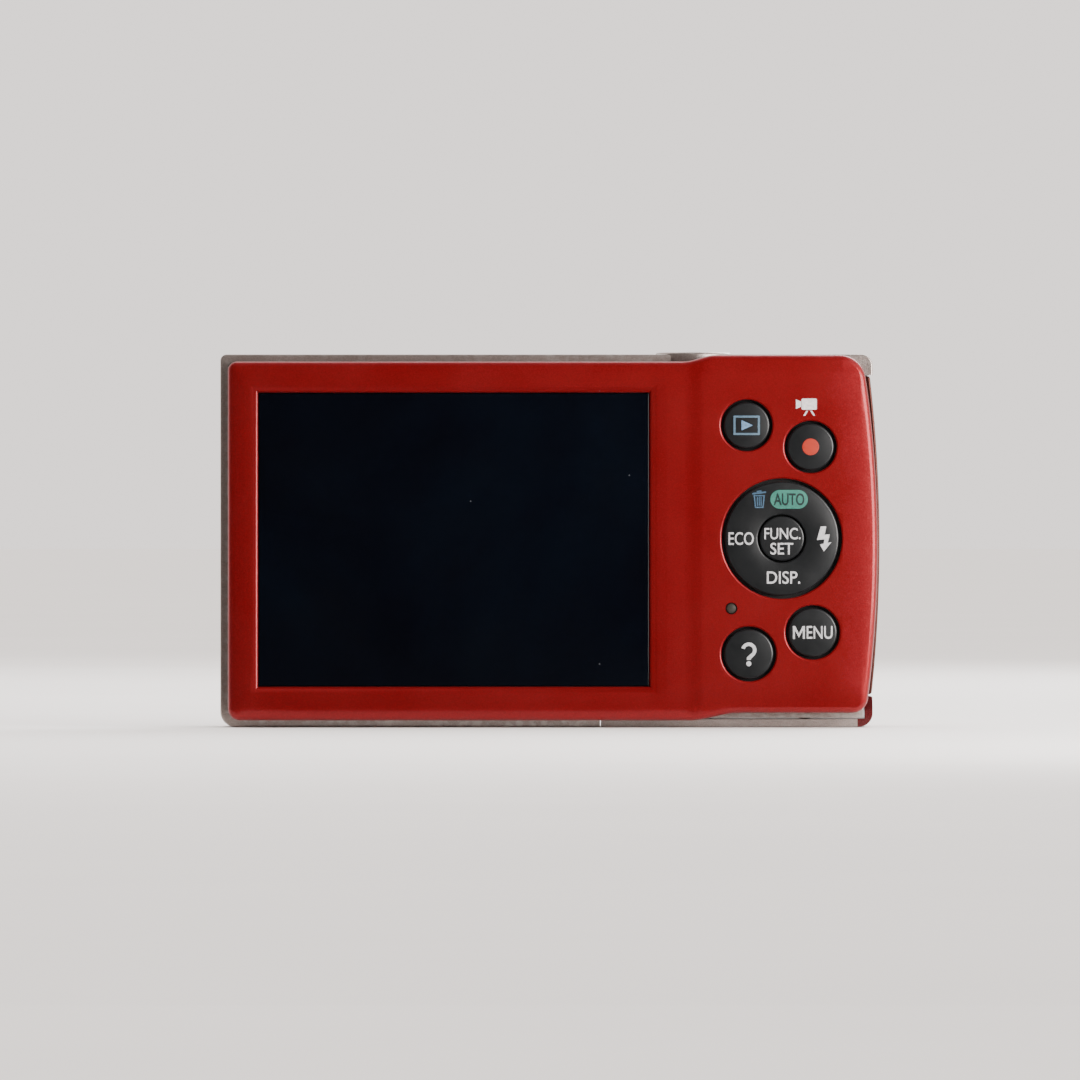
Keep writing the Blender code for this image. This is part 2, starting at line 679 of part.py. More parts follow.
def lens_unit():
    lens = (LENS_X, LENS_Z)
    ring = [
        (TRIM_R, -9.35), (TRIM_R - 0.3, -10.2), (TRIM_R - 1.6, RING_FRONT_Y),
        (15.4, RING_FRONT_Y), (14.6, -10.6), (14.6, -9.35),
    ]
    turned("lens_trim_ring", ring, lens, "Y", "silver", 40)
    housing = [
        (HOUSING_BORE_R, -8.7), (HOUSING_R - 1.6, -8.7), (HOUSING_R - 1.6, -7.6), (HOUSING_R, -7.6),
        (HOUSING_R, 4.3), (4.4, 4.3), (4.4, 3.1), (HOUSING_BORE_R, 3.1),
    ]
    turned("lens_housing", housing, lens, "Y", "dark", 32)
    tube("outer_barrel", OUTER_R, OUTER_BORE_R, -10.4, 2.2, lens, "Y", "silver", 32)
    inner = [
        (APERTURE_R + 0.3, -10.3), (INNER_R, -10.3), (INNER_R, 1.8), (INNER_BORE_R, 1.8),
        (INNER_BORE_R, -9.7), (APERTURE_R + 0.3, -9.7),
    ]
    turned("inner_barrel", inner, lens, "Y", "silver", 32)
    glass = [(0.0, -8.4), (4.0, -8.15), (7.0, -7.4), (7.0, -5.4), (0.0, -5.4)]
    turned("front_lens", glass, lens, "Y", "clear")
    tube("lens_cell", 10.2, 7.3, -8.4, -4.6, lens, "Y", "black")
    rear = [(0.0, -2.4), (6.0, -2.1), (10.2, -2.1), (10.2, 1.2), (6.0, 1.2), (0.0, 0.6)]
    turned("rear_lens", rear, lens, "Y", "clear")
    block("image_sensor", (LENS_X - 4.4, LENS_X + 4.4), (4.6, 5.6), (LENS_Z - 4.0, LENS_Z + 4.0), "dark")
    rod("zoom_motor", 3.2, -6.6, 3.6, (LENS_X + 22.6, LENS_Z - 15.4), "Y", "steel", 16)


def barrier_blade(name, side):
    """Half of the lens barrier: a half disc on an arm with a round boss at its pivot."""
    steps = 12
    outline = [(-BLADE_R, BLADE_GAP)]
    for i in range(steps - 1, 1, -1):
        angle = math.pi * i / steps
        outline.append((BLADE_R * math.cos(angle), BLADE_R * math.sin(angle)))
    for i in range(6, -5, -1):
        angle = math.pi / 2 * i / 6
        outline.append((BLADE_PIVOT_R + 0.9 * math.cos(angle), 0.9 * math.sin(angle)))
    outline.append((BLADE_PIVOT_R - 0.7, BLADE_GAP))
    places = [(LENS_X + side * a, LENS_Z + side * b) for a, b in outline]
    pivot = (LENS_X + side * BLADE_PIVOT_R, -9.2, LENS_Z)
    prism(name, places, -9.4, -9.05, "steel", None, "Y", pivot)


# ------------------------------------------------------------------ front pieces


def front_pieces():
    block("flash_window", FLASH_X, (-9.0, -8.0), FLASH_Z, "clear")
    reflector = block("flash_reflector", (-20.6, -9.4), (-7.7, -4.5), (43.3, 47.7), "grey")
    cut(reflector, block("cut_reflector", (-19.9, -10.1), (-9.0, -5.2), (43.9, 47.1)))
    rod("flash_tube", 0.9, -19.5, -10.5, (-6.5, 45.5), "X", "clear", SMALL_ROUND)
    rod("af_lamp", AF_R, -9.1, -7.2, AF_CENTRE, "Y", "clear", SMALL_ROUND)
    rod("flash_capacitor", 3.6, 19.0, 45.0, (38.5, -2.5), "Z", "dark", 16)


def sound_pieces():
    rod("speaker", 4.2, 49.6, 52.1, (SPEAKER_X, BAND_MID_Y), "Z", "dark", 16)
    rod("microphone", 1.8, 50.6, 52.2, (MICROPHONE_X, BAND_MID_Y), "Z", "grey", SMALL_ROUND)


# ------------------------------------------------------------------ battery, card and door


def tripod_socket():
    profile = [
        (0.0, TRIPOD_DEPTH), (TRIPOD_BORE_R, TRIPOD_DEPTH), (TRIPOD_BORE_R, 0.0), (TRIPOD_R, 0.0),
        (TRIPOD_R, 1.5), (TRIPOD_R + 0.9, 1.5), (TRIPOD_R + 0.9, 6.2), (0.0, 6.2),
    ]
    turned("tripod_socket", profile, (TRIPOD_X, BAND_MID_Y), "Z", "brass")


def battery_bay():
    x1, y1, z1 = (a + b for a, b in zip((BATTERY_X0, BATTERY_Y0, BATTERY_Z0), BATTERY))
    block("battery", (BATTERY_X0, x1), (BATTERY_Y0, y1), (BATTERY_Z0, z1), "label_blue")
    bay = block("battery_box", (-43.3, x1 + 1.2), (-4.3, 2.4), (3.2, z1 + 1.3), "dark")
    inside_x = (-45, x1 + CLEARANCE)
    cut(bay, block("cut_bay", inside_x, (BATTERY_Y0 - 0.3, 4), (2, z1 + 0.6)))
    middle = (BATTERY_X0 + x1) / 2
    block("battery_terminals", (middle - 8.0, middle + 8.0), (-2.2, 1.4), (z1 + 0.15, z1 + 0.45), "brass")
    card_x1, card_y1, card_z1 = CARD_X0 + CARD[0], CARD_Y0 + CARD[1], BATTERY_Z0 + CARD[2]
    block("memory_card", (CARD_X0, card_x1), (CARD_Y0, card_y1), (BATTERY_Z0, card_z1), "label_blue")
    socket = block("card_socket", (CARD_X0 - 1.0, card_x1 + 1.0), (2.75, 5.7), (5.0, card_z1 + 1.2), "steel")
    cut(socket, block("cut_card", (CARD_X0 - 0.3, card_x1 + 0.3), (2, card_y1 + 0.3), (2, card_z1 + 0.3)))
    block("battery_latch", (x1 - 0.2, x1 + 1.6), (-1.6, 0.8), (1.6, 2.3), "grey")


def battery_door():
    """The door over the battery and card: a plate with the case's lower grip-side corner."""
    plate = 1.2
    wall_x = DOOR_X[0] + 1.2
    outline = rounded([
        (DOOR_X[1], 0.0, 0), (DOOR_X[0], 0.0, 2.0), (DOOR_X[0], DOOR_WALL_TOP_Z, 0),
        (wall_x, DOOR_WALL_TOP_Z, 0), (wall_x, plate, 0), (DOOR_X[1], plate, 0),
    ])
    hinge_y, hinge_z = DOOR_HINGE
    origin = ((EAR_X[0] + EAR_X[1]) / 2, hinge_y, hinge_z)
    door = prism("battery_door", outline, BAND_FRONT_Y, BAND_REAR_Y, "red_metal", None, "Y", origin)
    edge = hinge_y - BAND_FRONT_Y
    corner = [(hinge_y, -1.0), (BAND_FRONT_Y - 1, -1.0), (BAND_FRONT_Y - 1, hinge_z)]
    for i in range(1, 4):
        angle = math.pi + math.pi / 2 * i / 4
        corner.append((hinge_y + edge * math.cos(angle), hinge_z + edge * math.sin(angle)))
    cut(door, prism("cut_hinge_round", corner, -50, 0, None, None, "X"))
    top = DOOR_WALL_TOP_Z
    bevelled = [(BAND_REAR_Y + 1, top + 1), (BAND_REAR_Y - 2.8, top + 1), (BAND_REAR_Y + 1, top - 2.8)]
    cut(door, prism("cut_wall_corner", bevelled, -50, -40, None, None, "X"))
    cut(door, rod("cut_hinge_bore", DOOR_PIN_R + 0.1, -39.4, -10.6, (hinge_y, hinge_z), "X", None, 8))
    for i, x in enumerate(EAR_X):
        half = EAR_WIDTH / 2 + CLEARANCE
        notch = block(f"cut_ear_{i}", (x - half, x + half), (BAND_FRONT_Y - 1, hinge_y + 0.9), (-1, 2))
        cut(door, notch)


def door_slider():
    """The sliding hinge plate that the door turns on."""
    hinge_y, hinge_z = DOOR_HINGE
    slider = block("door_slider", (-39.5, -10.5), (-3.0, 1.5), (1.55, 2.1), "steel")
    for i, x in enumerate(EAR_X):
        ear_x = (x - EAR_WIDTH / 2, x + EAR_WIDTH / 2)
        join(slider, block(f"cut_slider_ear_{i}", ear_x, (-3.75, -2.75), (0.1, 2.1)))
    cut(slider, rod("cut_slider_bore", DOOR_PIN_R + 0.05, -45, -5, (hinge_y, hinge_z), "X", None, 8))
    rod("door_hinge_pin", DOOR_PIN_R, -39.2, -10.8, (hinge_y, hinge_z), "X", "steel", 8)


def build():
    clear_scene()
    back_cover()
    front_cover()
    mid_frame()
    side_panel()
    terminal_cover()
    strap_pin()
    usb_socket()
    for name, place in SCREWS.items():
        case_screw(name, place)
    screen_stack()
    back_buttons()
    nav_control()
    indicator_lamp()
    release_base()
    shutter_button()
    shutter_spring()
    zoom_lever()
    power_button()
    lens_unit()
    barrier_blade("barrier_blade_upper", 1)
    barrier_blade("barrier_blade_lower", -1)
    front_pieces()
    sound_pieces()
    tripod_socket()
    battery_bay()
    battery_door()
    door_slider()


build()
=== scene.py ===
"""The finish of a compact digital camera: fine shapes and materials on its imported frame.

Lengths are in millimetres, apart from the settings, which are in metres as the editor shows them; MM is one
millimetre. The frame stands on its base with the lens towards -Y, the screen towards +Y and the grip side
towards -X.
"""

import math

import bmesh
import bpy
from bpy.props import FloatProperty, FloatVectorProperty, IntProperty, PointerProperty
from mathutils import Matrix, Vector


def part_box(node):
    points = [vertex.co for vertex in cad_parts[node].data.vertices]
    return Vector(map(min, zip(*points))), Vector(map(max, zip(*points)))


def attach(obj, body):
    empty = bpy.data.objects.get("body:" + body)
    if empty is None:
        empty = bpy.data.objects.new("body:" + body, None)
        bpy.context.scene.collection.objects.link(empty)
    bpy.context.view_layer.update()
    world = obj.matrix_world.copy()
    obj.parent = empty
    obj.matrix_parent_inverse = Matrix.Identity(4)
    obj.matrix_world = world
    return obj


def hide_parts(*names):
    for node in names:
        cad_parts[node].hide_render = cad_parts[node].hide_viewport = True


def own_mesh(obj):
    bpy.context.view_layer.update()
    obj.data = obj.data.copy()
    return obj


bl_info = {
    "name": "Compact Camera",
    "version": (1, 0, 0),
    "blender": (4, 5, 0),
    "location": "3D View > Sidebar > Camera",
    "description": "Models the shells, keys, lens and finishes of a compact camera on its frame",
    "category": "Object",
}

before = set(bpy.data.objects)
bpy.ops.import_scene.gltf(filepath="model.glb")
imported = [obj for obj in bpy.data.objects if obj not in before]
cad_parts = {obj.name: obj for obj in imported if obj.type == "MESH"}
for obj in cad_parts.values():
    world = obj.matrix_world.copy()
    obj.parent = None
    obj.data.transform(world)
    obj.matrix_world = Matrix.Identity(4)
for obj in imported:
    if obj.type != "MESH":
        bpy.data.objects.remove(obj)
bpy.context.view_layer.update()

MM = 0.001


def node_box(node):
    """Lowest and highest corner of a frame node, in millimetres."""
    low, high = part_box(node)
    return low / MM, high / MM


def node_middle(node):
    low, high = node_box(node)
    return (low + high) / 2


def node_radius(node):
    low, high = node_box(node)
    return (high.x - low.x) / 2


BACK_LOW, BACK_HIGH = node_box("back_cover")
FRONT_LOW, FRONT_HIGH = node_box("front_cover")
BAND_LOW, BAND_HIGH = node_box("mid_frame")
PANEL_LOW, PANEL_HIGH = node_box("side_panel")
WINDOW_LOW, WINDOW_HIGH = node_box("screen_window")
DOOR_LOW, DOOR_HIGH = node_box("battery_door")
PORT_LOW, PORT_HIGH = node_box("terminal_cover")
LENS = node_middle("lens_trim_ring")
RELEASE = node_middle("zoom_lever")
NAV = node_middle("nav_ring")
POWER = node_middle("power_button")

# The two covers' outline: its levels, bowed end, steps beside the grip and corner radii.
GRIP_TOP_Z = BACK_HIGH.z
GRIP_BASE_Z = BACK_LOW.z + 1.1
COVER_TOP_Z = GRIP_TOP_Z - 0.95
COVER_BASE_Z = BACK_LOW.z
COVER_BOW = (-BACK_LOW.x, 26.0, 0.0029)
PANEL_BOW = (-PANEL_LOW.x, 26.5, 0.0024)
TOP_SWEEP_X = (-19.0, -24.0)
BASE_SWEEP_X = (-20.0, -27.3)
GRIP_BASE_R, GRIP_TOP_R = 2.3, 3.75
END_BASE_R, END_TOP_R = 1.7, 1.3
WALL = 1.0
CROWN_REACH = 4.6

# The back's keys, each with the radius of its hole, and the rocking ring.
KEYS = {"playback_button": 3.7, "movie_button": 3.75, "menu_button": 3.9, "help_button": 3.95}
KEY_GAP = 0.4
KEY_FLANGE = 0.4
NAV_HOLE_R = 8.65
NAV_BORE_R = 3.45
NAV_CREST_R = 5.4
NAV_OUTER_FALL, NAV_OUTER_REACH = 0.30, 2.8
NAV_INNER_FALL, NAV_INNER_REACH = 0.16, 1.95
SET_EXTRA_R = 0.12
SET_FALL = 0.14
SET_EDGE = 0.25

# The round well for the release and the zoom lever, and the strap's opening.
WELL_FLOOR_Z = 52.3
WELL_R = 5.9
WELL_GAP = 0.4
STRAP_Z = (8.5, 14.5)
STRAP_Y = (-1.4, 3.4)

# Cutters reach out to these places, clear of the body.
BEYOND_X = -50.0
BEYOND_Z = 60.0


class CameraSettings(bpy.types.PropertyGroup):
    """Sizes and colours of the finish."""

    edge_round: FloatProperty(
        name="Edge round", description="Radius of the covers' outer edges",
        subtype="DISTANCE", default=0.8 * MM, min=0.2 * MM, max=1.0 * MM)
    crown: FloatProperty(
        name="Crown", description="How far the covers fall away at their edges",
        subtype="DISTANCE", default=0.5 * MM, min=0.0, max=1.0 * MM)
    key_crown: FloatProperty(
        name="Key crown", description="Height of a key cap's dome",
        subtype="DISTANCE", default=0.22 * MM, min=0.0, max=0.4 * MM)
    bezel_slope: FloatProperty(
        name="Bezel slope", description="Width of the slope round the window",
        subtype="DISTANCE", default=0.75 * MM, min=0.2 * MM, max=1.5 * MM)
    round_steps: IntProperty(
        name="Round steps", description="Sides of a full turn on the round pieces",
        default=96, min=24, max=160)
    paint_colour: FloatVectorProperty(
        name="Paint", description="Colour of the metallic covers", subtype="COLOR",
        size=3, default=(0.14, 0.0018, 0.0028), min=0.0, max=1.0)
    band_colour: FloatVectorProperty(
        name="Band", description="Colour of the silver band", subtype="COLOR",
        size=3, default=(0.33, 0.28, 0.255), min=0.0, max=1.0)
    key_colour: FloatVectorProperty(
        name="Keys", description="Colour of the key caps", subtype="COLOR",
        size=3, default=(0.0055, 0.0062, 0.0068), min=0.0, max=1.0)
    window_colour: FloatVectorProperty(
        name="Window", description="Colour of the dark window", subtype="COLOR",
        size=3, default=(0.0012, 0.0022, 0.0045), min=0.0, max=1.0)
    floor_colour: FloatVectorProperty(
        name="Floor", description="Colour of the floor", subtype="COLOR",
        size=3, default=(0.88, 0.855, 0.83), min=0.0, max=1.0)
    frame_width: FloatProperty(
        name="Frame width", description="Width that the camera sees at the screen",
        subtype="DISTANCE", default=155.4 * MM, min=100.0 * MM, max=400.0 * MM)
    view_distance: FloatProperty(
        name="View distance", description="Distance from the screen to the camera",
        subtype="DISTANCE", default=1500.0 * MM, min=200.0 * MM, max=3000.0 * MM)


def settings():
    return bpy.context.scene.camera_settings


def set_length(name):
    """A length setting in millimetres."""
    return getattr(settings(), name) / MM


# ---------------------------------------------------------------- shapes


def to_object(name, shape, smooth=True, angle=32.0, weigh=False):
    """Turn a bmesh in millimetres into a mesh object at the origin, in metres."""
    bmesh.ops.remove_doubles(shape, verts=shape.verts, dist=0.0005)
    bmesh.ops.recalc_face_normals(shape, faces=shape.faces)
    bmesh.ops.scale(shape, verts=shape.verts, vec=(MM, MM, MM))
    mesh = bpy.data.meshes.new(name)
    shape.to_mesh(mesh)
    shape.free()
    made = bpy.data.objects.new(name, mesh)
    bpy.context.scene.collection.objects.link(made)
    if smooth:
        shade(made, angle, weigh)
    return made


def shade(piece, angle=32.0, weigh=False):
    """Smooth shading with sharp edges past an angle; weigh keeps broad faces flat."""
    shape = bmesh.new()
    shape.from_mesh(piece.data)
    for face in shape.faces:
        face.smooth = True
    for edge in shape.edges:
        edge.smooth = edge.calc_face_angle(math.pi) < math.radians(angle)
    shape.to_mesh(piece.data)
    shape.free()
    if weigh:
        step = piece.modifiers.new("flat_faces", "WEIGHTED_NORMAL")
        step.keep_sharp = True
        step.weight = 80


def settle(piece):
    """Drop a piece's weighted normals, apply its other modifiers and drop the cutters that they used."""
    for step in [step for step in piece.modifiers if step.type == "WEIGHTED_NORMAL"]:
        piece.modifiers.remove(step)
    used = [step.object for step in piece.modifiers if step.type == "BOOLEAN"]
    graph = bpy.context.evaluated_depsgraph_get()
    mesh = bpy.data.meshes.new_from_object(piece.evaluated_get(graph))
    piece.modifiers.clear()
    old = piece.data
    piece.data = mesh
    bpy.data.meshes.remove(old)
    for cutter in used:
        bpy.data.objects.remove(cutter, do_unlink=True)
    clean = bmesh.new()
    clean.from_mesh(mesh)
    bmesh.ops.remove_doubles(clean, verts=clean.verts, dist=1e-6)
    clean.to_mesh(mesh)
    clean.free()
    return piece


def combine(piece, others, operation="DIFFERENCE"):
    """Cut other objects out of a piece, or join them to it."""
    for other in others:
        step = piece.modifiers.new(other.name, "BOOLEAN")
        step.operation = operation
        step.solver = "EXACT"
        step.object = other
    return settle(piece)


def box_shape(low, high):
    shape = bmesh.new()
    low, high = Vector(low), Vector(high)
    bmesh.ops.create_cube(shape, size=1.0)
    bmesh.ops.scale(shape, verts=shape.verts, vec=high - low)
    bmesh.ops.translate(shape, verts=shape.verts, vec=(low + high) / 2)
    return shape


def soft_box(name, low, high, radius=0.15, segments=3):
    """A box with all its edges rounded."""
    shape = box_shape(low, high)
    bmesh.ops.bevel(shape, geom=shape.edges[:], offset=radius, segments=segments, profile=0.5,
                    affect="EDGES", material=-1)
    return to_object(name, shape, weigh=True)


def block(name, low, high):
    """A plain box for cutting."""
    return to_object(name, box_shape(low, high), smooth=False)


TURN = {
    "Z": Matrix.Identity(3),
    "Y": Matrix.Rotation(-math.pi / 2, 3, "X"),
    "X": Matrix.Rotation(math.pi / 2, 3, "Y"),
}


def turned(name, profile, centre, axis, steps=None, angle=32.0):
    """Turn a profile of (radius, height) about an axis through the centre."""
    shape = bmesh.new()
    points = [shape.verts.new((r, 0.0, h)) for r, h in profile]
    edges = [shape.edges.new(pair) for pair in zip(points, points[1:])]
    if profile[0][0] > 0.0:
        edges.append(shape.edges.new((points[-1], points[0])))
    bmesh.ops.spin(shape, geom=points + edges, cent=(0, 0, 0), axis=(0, 0, 1), angle=2 * math.pi,
                   steps=steps or settings().round_steps, use_merge=True)
    bmesh.ops.rotate(shape, verts=shape.verts, cent=(0, 0, 0), matrix=TURN[axis])
    place = Vector(centre)
    place["XYZ".index(axis)] = 0.0
    bmesh.ops.translate(shape, verts=shape.verts, vec=place)
    return to_object(name, shape, angle=angle)


def rod(name, radius, low, high, centre, axis, steps=48):
    return turned(name, [(0.0, low), (radius, low), (radius, high), (0.0, high)], centre, axis, steps)


def fillet(corner, before, after, radius, steps):
    """Points of a fillet on one corner of an outline."""
    corner, before, after = Vector(corner), Vector(before), Vector(after)
    one, two = (before - corner).normalized(), (after - corner).normalized()
    half = one.angle(two) / 2
    centre = corner + (one + two).normalized() * (radius / math.sin(half))
    reach = radius / math.tan(half)
    start, end = corner + one * reach - centre, corner + two * reach - centre
    turn = start.angle_signed(end)
    return [tuple(centre + Matrix.Rotation(-turn * i / steps, 2) @ start) for i in range(steps + 1)]


def rounded(corners, steps=8, closed=True):
    """An outline or profile from (a, b, radius) corners; a radius of zero keeps the point."""
    points = []
    for i, (a, b, radius) in enumerate(corners):
        end = not closed and i in (0, len(corners) - 1)
        if radius == 0 or end:
            points.append((a, b))
            continue
        after = corners[(i + 1) % len(corners)][:2]
        points += fillet((a, b), corners[i - 1][:2], after, radius, steps)
    return points


def rounded_box(low, high, radius):
    """A rectangle between two (a, b) corners with its own corners rounded."""
    (a, b), (c, d) = low, high
    return rounded([(a, b, radius), (c, b, radius), (c, d, radius), (a, d, radius)])


def arc(centre, radius, start, end, steps):
    """Points round a centre between two angles, in degrees."""
    angles = [math.radians(start + (end - start) * i / steps) for i in range(steps + 1)]
    return [(centre[0] + radius * math.cos(a), centre[1] + radius * math.sin(a)) for a in angles]


def shoulder(radius, top, edge, steps=6):
    """Profile points of a rounded shoulder, from the wall up to the level of its top."""
    angles = [math.pi / 2 * i / steps for i in range(steps + 1)]
    return [(radius - edge * (1 - math.cos(a)), top - edge * (1 - math.sin(a))) for a in angles]


def dome(radius, top, fall, power, steps):
    """Profile points of a dome, from just inside its radius up to its middle."""
    shares = [1 - i / steps for i in range(1, steps + 1)]
    return [(radius * share, top - fall * share ** power) for share in shares]


def inset(outline, distance):
    """Move a closed outline inwards."""
    area = sum(a[0] * b[1] - b[0] * a[1] for a, b in zip(outline, outline[1:] + outline[:1]))
    side = 1 if area > 0 else -1
    moved = []
    for i, point in enumerate(outline):
        here = Vector(point)
        one = (here - Vector(outline[i - 1])).normalized()
        two = (Vector(outline[(i + 1) % len(outline)]) - here).normalized()
        normal = Vector((-(one + two).y, (one + two).x)).normalized() * side
        moved.append(tuple(here + normal * (distance / max(0.5, math.cos(one.angle(two) / 2)))))
    return moved


def plate_shape(outline, low, high, axis="Y", round_low=0.0, round_high=0.0, segments=4):
    """An outline extruded along an axis, with its two rims rounded."""
    shape = bmesh.new()
    i = "XYZ".index(axis)
    base = []
    for place in outline:
        corner = list(place)
        corner.insert(i, low)
        base.append(shape.verts.new(corner))
    push = Vector((0, 0, 0))
    push[i] = high - low
    face = shape.faces.new(base)
    grown = bmesh.ops.extrude_face_region(shape, geom=[face], use_keep_orig=True)["geom"]
    bmesh.ops.translate(shape, verts=[g for g in grown if isinstance(g, bmesh.types.BMVert)], vec=push)
    bmesh.ops.recalc_face_normals(shape, faces=shape.faces)
    for level, radius in ((low, round_low), (high, round_high)):
        if radius:
            rim = [e for e in shape.edges if all(abs(v.co[i] - level) < 1e-4 for v in e.verts)]
            bmesh.ops.bevel(shape, geom=rim, offset=radius, segments=segments, profile=0.5,
                            affect="EDGES", material=-1, clamp_overlap=True)
    return shape


def plate(name, outline, low, high, axis="Y", round_low=0.0, round_high=0.0, weigh=True):
    return to_object(name, plate_shape(outline, low, high, axis, round_low, round_high), weigh=weigh)


def bow(z, shape):
    """X of a bowed grip-side surface at height z."""
    reach, middle, curve = shape
    return -(reach - curve * (z - middle) ** 2)


def ease(t):
    t = min(1.0, max(0.0, t))
    return t * t * (3 - 2 * t)


def sweep(x_from, x_to, z_from, z_to, steps=14):
    """A smooth step in height between two stations along the body."""
    points = []
    for i in range(steps + 1):
        t = i / steps
        rise = (1 - math.cos(math.pi * t)) / 2
        points.append((x_from + (x_to - x_from) * t, z_from + (z_to - z_from) * rise, 0))
    return points


def cover_outline():
    """The outline shared by the two covers."""
    end_x = BACK_HIGH.x
    corners = [(end_x, COVER_TOP_Z, END_TOP_R), (end_x, COVER_BASE_Z, END_BASE_R)]
    corners += sweep(*BASE_SWEEP_X, COVER_BASE_Z, GRIP_BASE_Z)
    corners.append((bow(GRIP_BASE_Z, COVER_BOW), GRIP_BASE_Z, GRIP_BASE_R))
    low_z, high_z = GRIP_BASE_Z + 4.0, GRIP_TOP_Z - 5.5
    steps = 28
    for i in range(steps + 1):
        z = low_z + (high_z - low_z) * i / steps
        corners.append((bow(z, COVER_BOW), z, 0))
    corners.append((bow(GRIP_TOP_Z, COVER_BOW), GRIP_TOP_Z, GRIP_TOP_R))
    corners += reversed(sweep(*TOP_SWEEP_X, COVER_TOP_Z, GRIP_TOP_Z))
    return rounded(corners)


def edge_distance(x, z):
    """How far a point of a cover lies inside its outline, measured round the rounded corners."""
    grip = ease((TOP_SWEEP_X[0] - x) / (TOP_SWEEP_X[0] - TOP_SWEEP_X[1]))
    low = ease((BASE_SWEEP_X[0] - x) / (BASE_SWEEP_X[0] - BASE_SWEEP_X[1]))
    top = COVER_TOP_Z + (GRIP_TOP_Z - COVER_TOP_Z) * grip - z
    base = z - (COVER_BASE_Z + (GRIP_BASE_Z - COVER_BASE_Z) * low)
    left, right = x - bow(z, COVER_BOW), BACK_HIGH.x - x
    corners = ((left, base, GRIP_BASE_R), (left, top, GRIP_TOP_R),
               (right, base, END_BASE_R), (right, top, END_TOP_R))
    for across, upward, radius in corners:
        if across < radius and upward < radius:
            return radius - math.hypot(radius - across, radius - upward)
    return min(left, right, top, base)


def slice_face(shape, y, stations_x, stations_z):
    """Cut the broad face at height y into a grid, so that it can be crowned."""
    for normal, stations in (((1, 0, 0), stations_x), ((0, 0, 1), stations_z)):
        for station in stations:
            faces = [f for f in shape.faces if all(abs(v.co.y - y) < 1e-4 for v in f.verts)]
            parts = {part for f in faces for part in (f, *f.edges, *f.verts)}
            point = (station, 0, 0) if normal[0] else (0, 0, station)
            bmesh.ops.bisect_plane(shape, geom=list(parts), plane_co=point, plane_no=normal)


def stations(low, high, pitch, near=()):
    """Evenly spaced stations, with finer ones beside the given places."""
    count = max(2, round((high - low) / pitch))
    places = {round(low + (high - low) * i / count, 3) for i in range(1, count)}
    for place in near:
        for step in (0.35, 0.8, 1.4, 2.1, 3.0):
            places.update((round(place - step, 3), round(place + step, 3)))
    return sorted(p for p in places if low + 0.2 < p < high - 0.2)


# ---------------------------------------------------------------- shader groups


def socket(group, name, kind, way="INPUT", value=None):
    made = group.interface.new_socket(name=name, in_out=way, socket_type=kind)
    if value is not None:
        made.default_value = value
    return made


def start_group(name):
    group = bpy.data.node_groups.new(name, "ShaderNodeTree")
    return group, group.nodes.new("NodeGroupInput"), group.nodes.new("NodeGroupOutput")


def add(tree, kind, **facts):
    node = tree.nodes.new(kind)
    for key, value in facts.items():
        setattr(node, key, value)
    return node


def maths(tree, operation, one, two=None):
    node = add(tree, "ShaderNodeMath", operation=operation)
    for i, value in enumerate((one, two)):
        if value is None:
            continue
        if isinstance(value, (int, float)):
            node.inputs[i].default_value = value
        else:
            tree.links.new(value, node.inputs[i])
    return node.outputs[0]


def flake_group():
    """Metal flakes under lacquer: each cell tilts its own way and takes a share of a lighter tone."""
    name = "metal_flake"
    if name in bpy.data.node_groups:
        return bpy.data.node_groups[name]
    group, start, end = start_group(name)
    socket(group, "Color", "NodeSocketColor")
    socket(group, "Flake", "NodeSocketColor")
    socket(group, "Scale", "NodeSocketFloat", value=6000.0)
    socket(group, "Tilt", "NodeSocketFloat", value=0.25)
    socket(group, "Share", "NodeSocketFloat", value=0.4)
    socket(group, "Color", "NodeSocketColor", "OUTPUT")
    socket(group, "Normal", "NodeSocketVector", "OUTPUT")
    link = group.links.new
    place = add(group, "ShaderNodeTexCoord")
    cells = add(group, "ShaderNodeTexVoronoi")
    link(place.outputs["Object"], cells.inputs["Vector"])
    link(start.outputs["Scale"], cells.inputs["Scale"])
    centred = add(group, "ShaderNodeVectorMath", operation="SUBTRACT")
    centred.inputs[1].default_value = (0.5, 0.5, 0.5)
    link(cells.outputs["Color"], centred.inputs[0])
    leaned = add(group, "ShaderNodeVectorMath", operation="SCALE")
    link(centred.outputs[0], leaned.inputs[0])
    link(start.outputs["Tilt"], leaned.inputs["Scale"])
    facing = add(group, "ShaderNodeNewGeometry")
    summed = add(group, "ShaderNodeVectorMath", operation="ADD")
    link(facing.outputs["Normal"], summed.inputs[0])
    link(leaned.outputs[0], summed.inputs[1])
    unit = add(group, "ShaderNodeVectorMath", operation="NORMALIZE")
    link(summed.outputs[0], unit.inputs[0])
    link(unit.outputs[0], end.inputs["Normal"])
    parts = add(group, "ShaderNodeSeparateColor")
    link(cells.outputs["Color"], parts.inputs[0])
    bright = maths(group, "MULTIPLY", parts.outputs[0], start.outputs["Share"])
    mixed = add(group, "ShaderNodeMix", data_type="RGBA")
    link(bright, mixed.inputs["Factor"])
    link(start.outputs["Color"], mixed.inputs[6])
    link(start.outputs["Flake"], mixed.inputs[7])
    link(mixed.outputs[2], end.inputs["Color"])
    return group


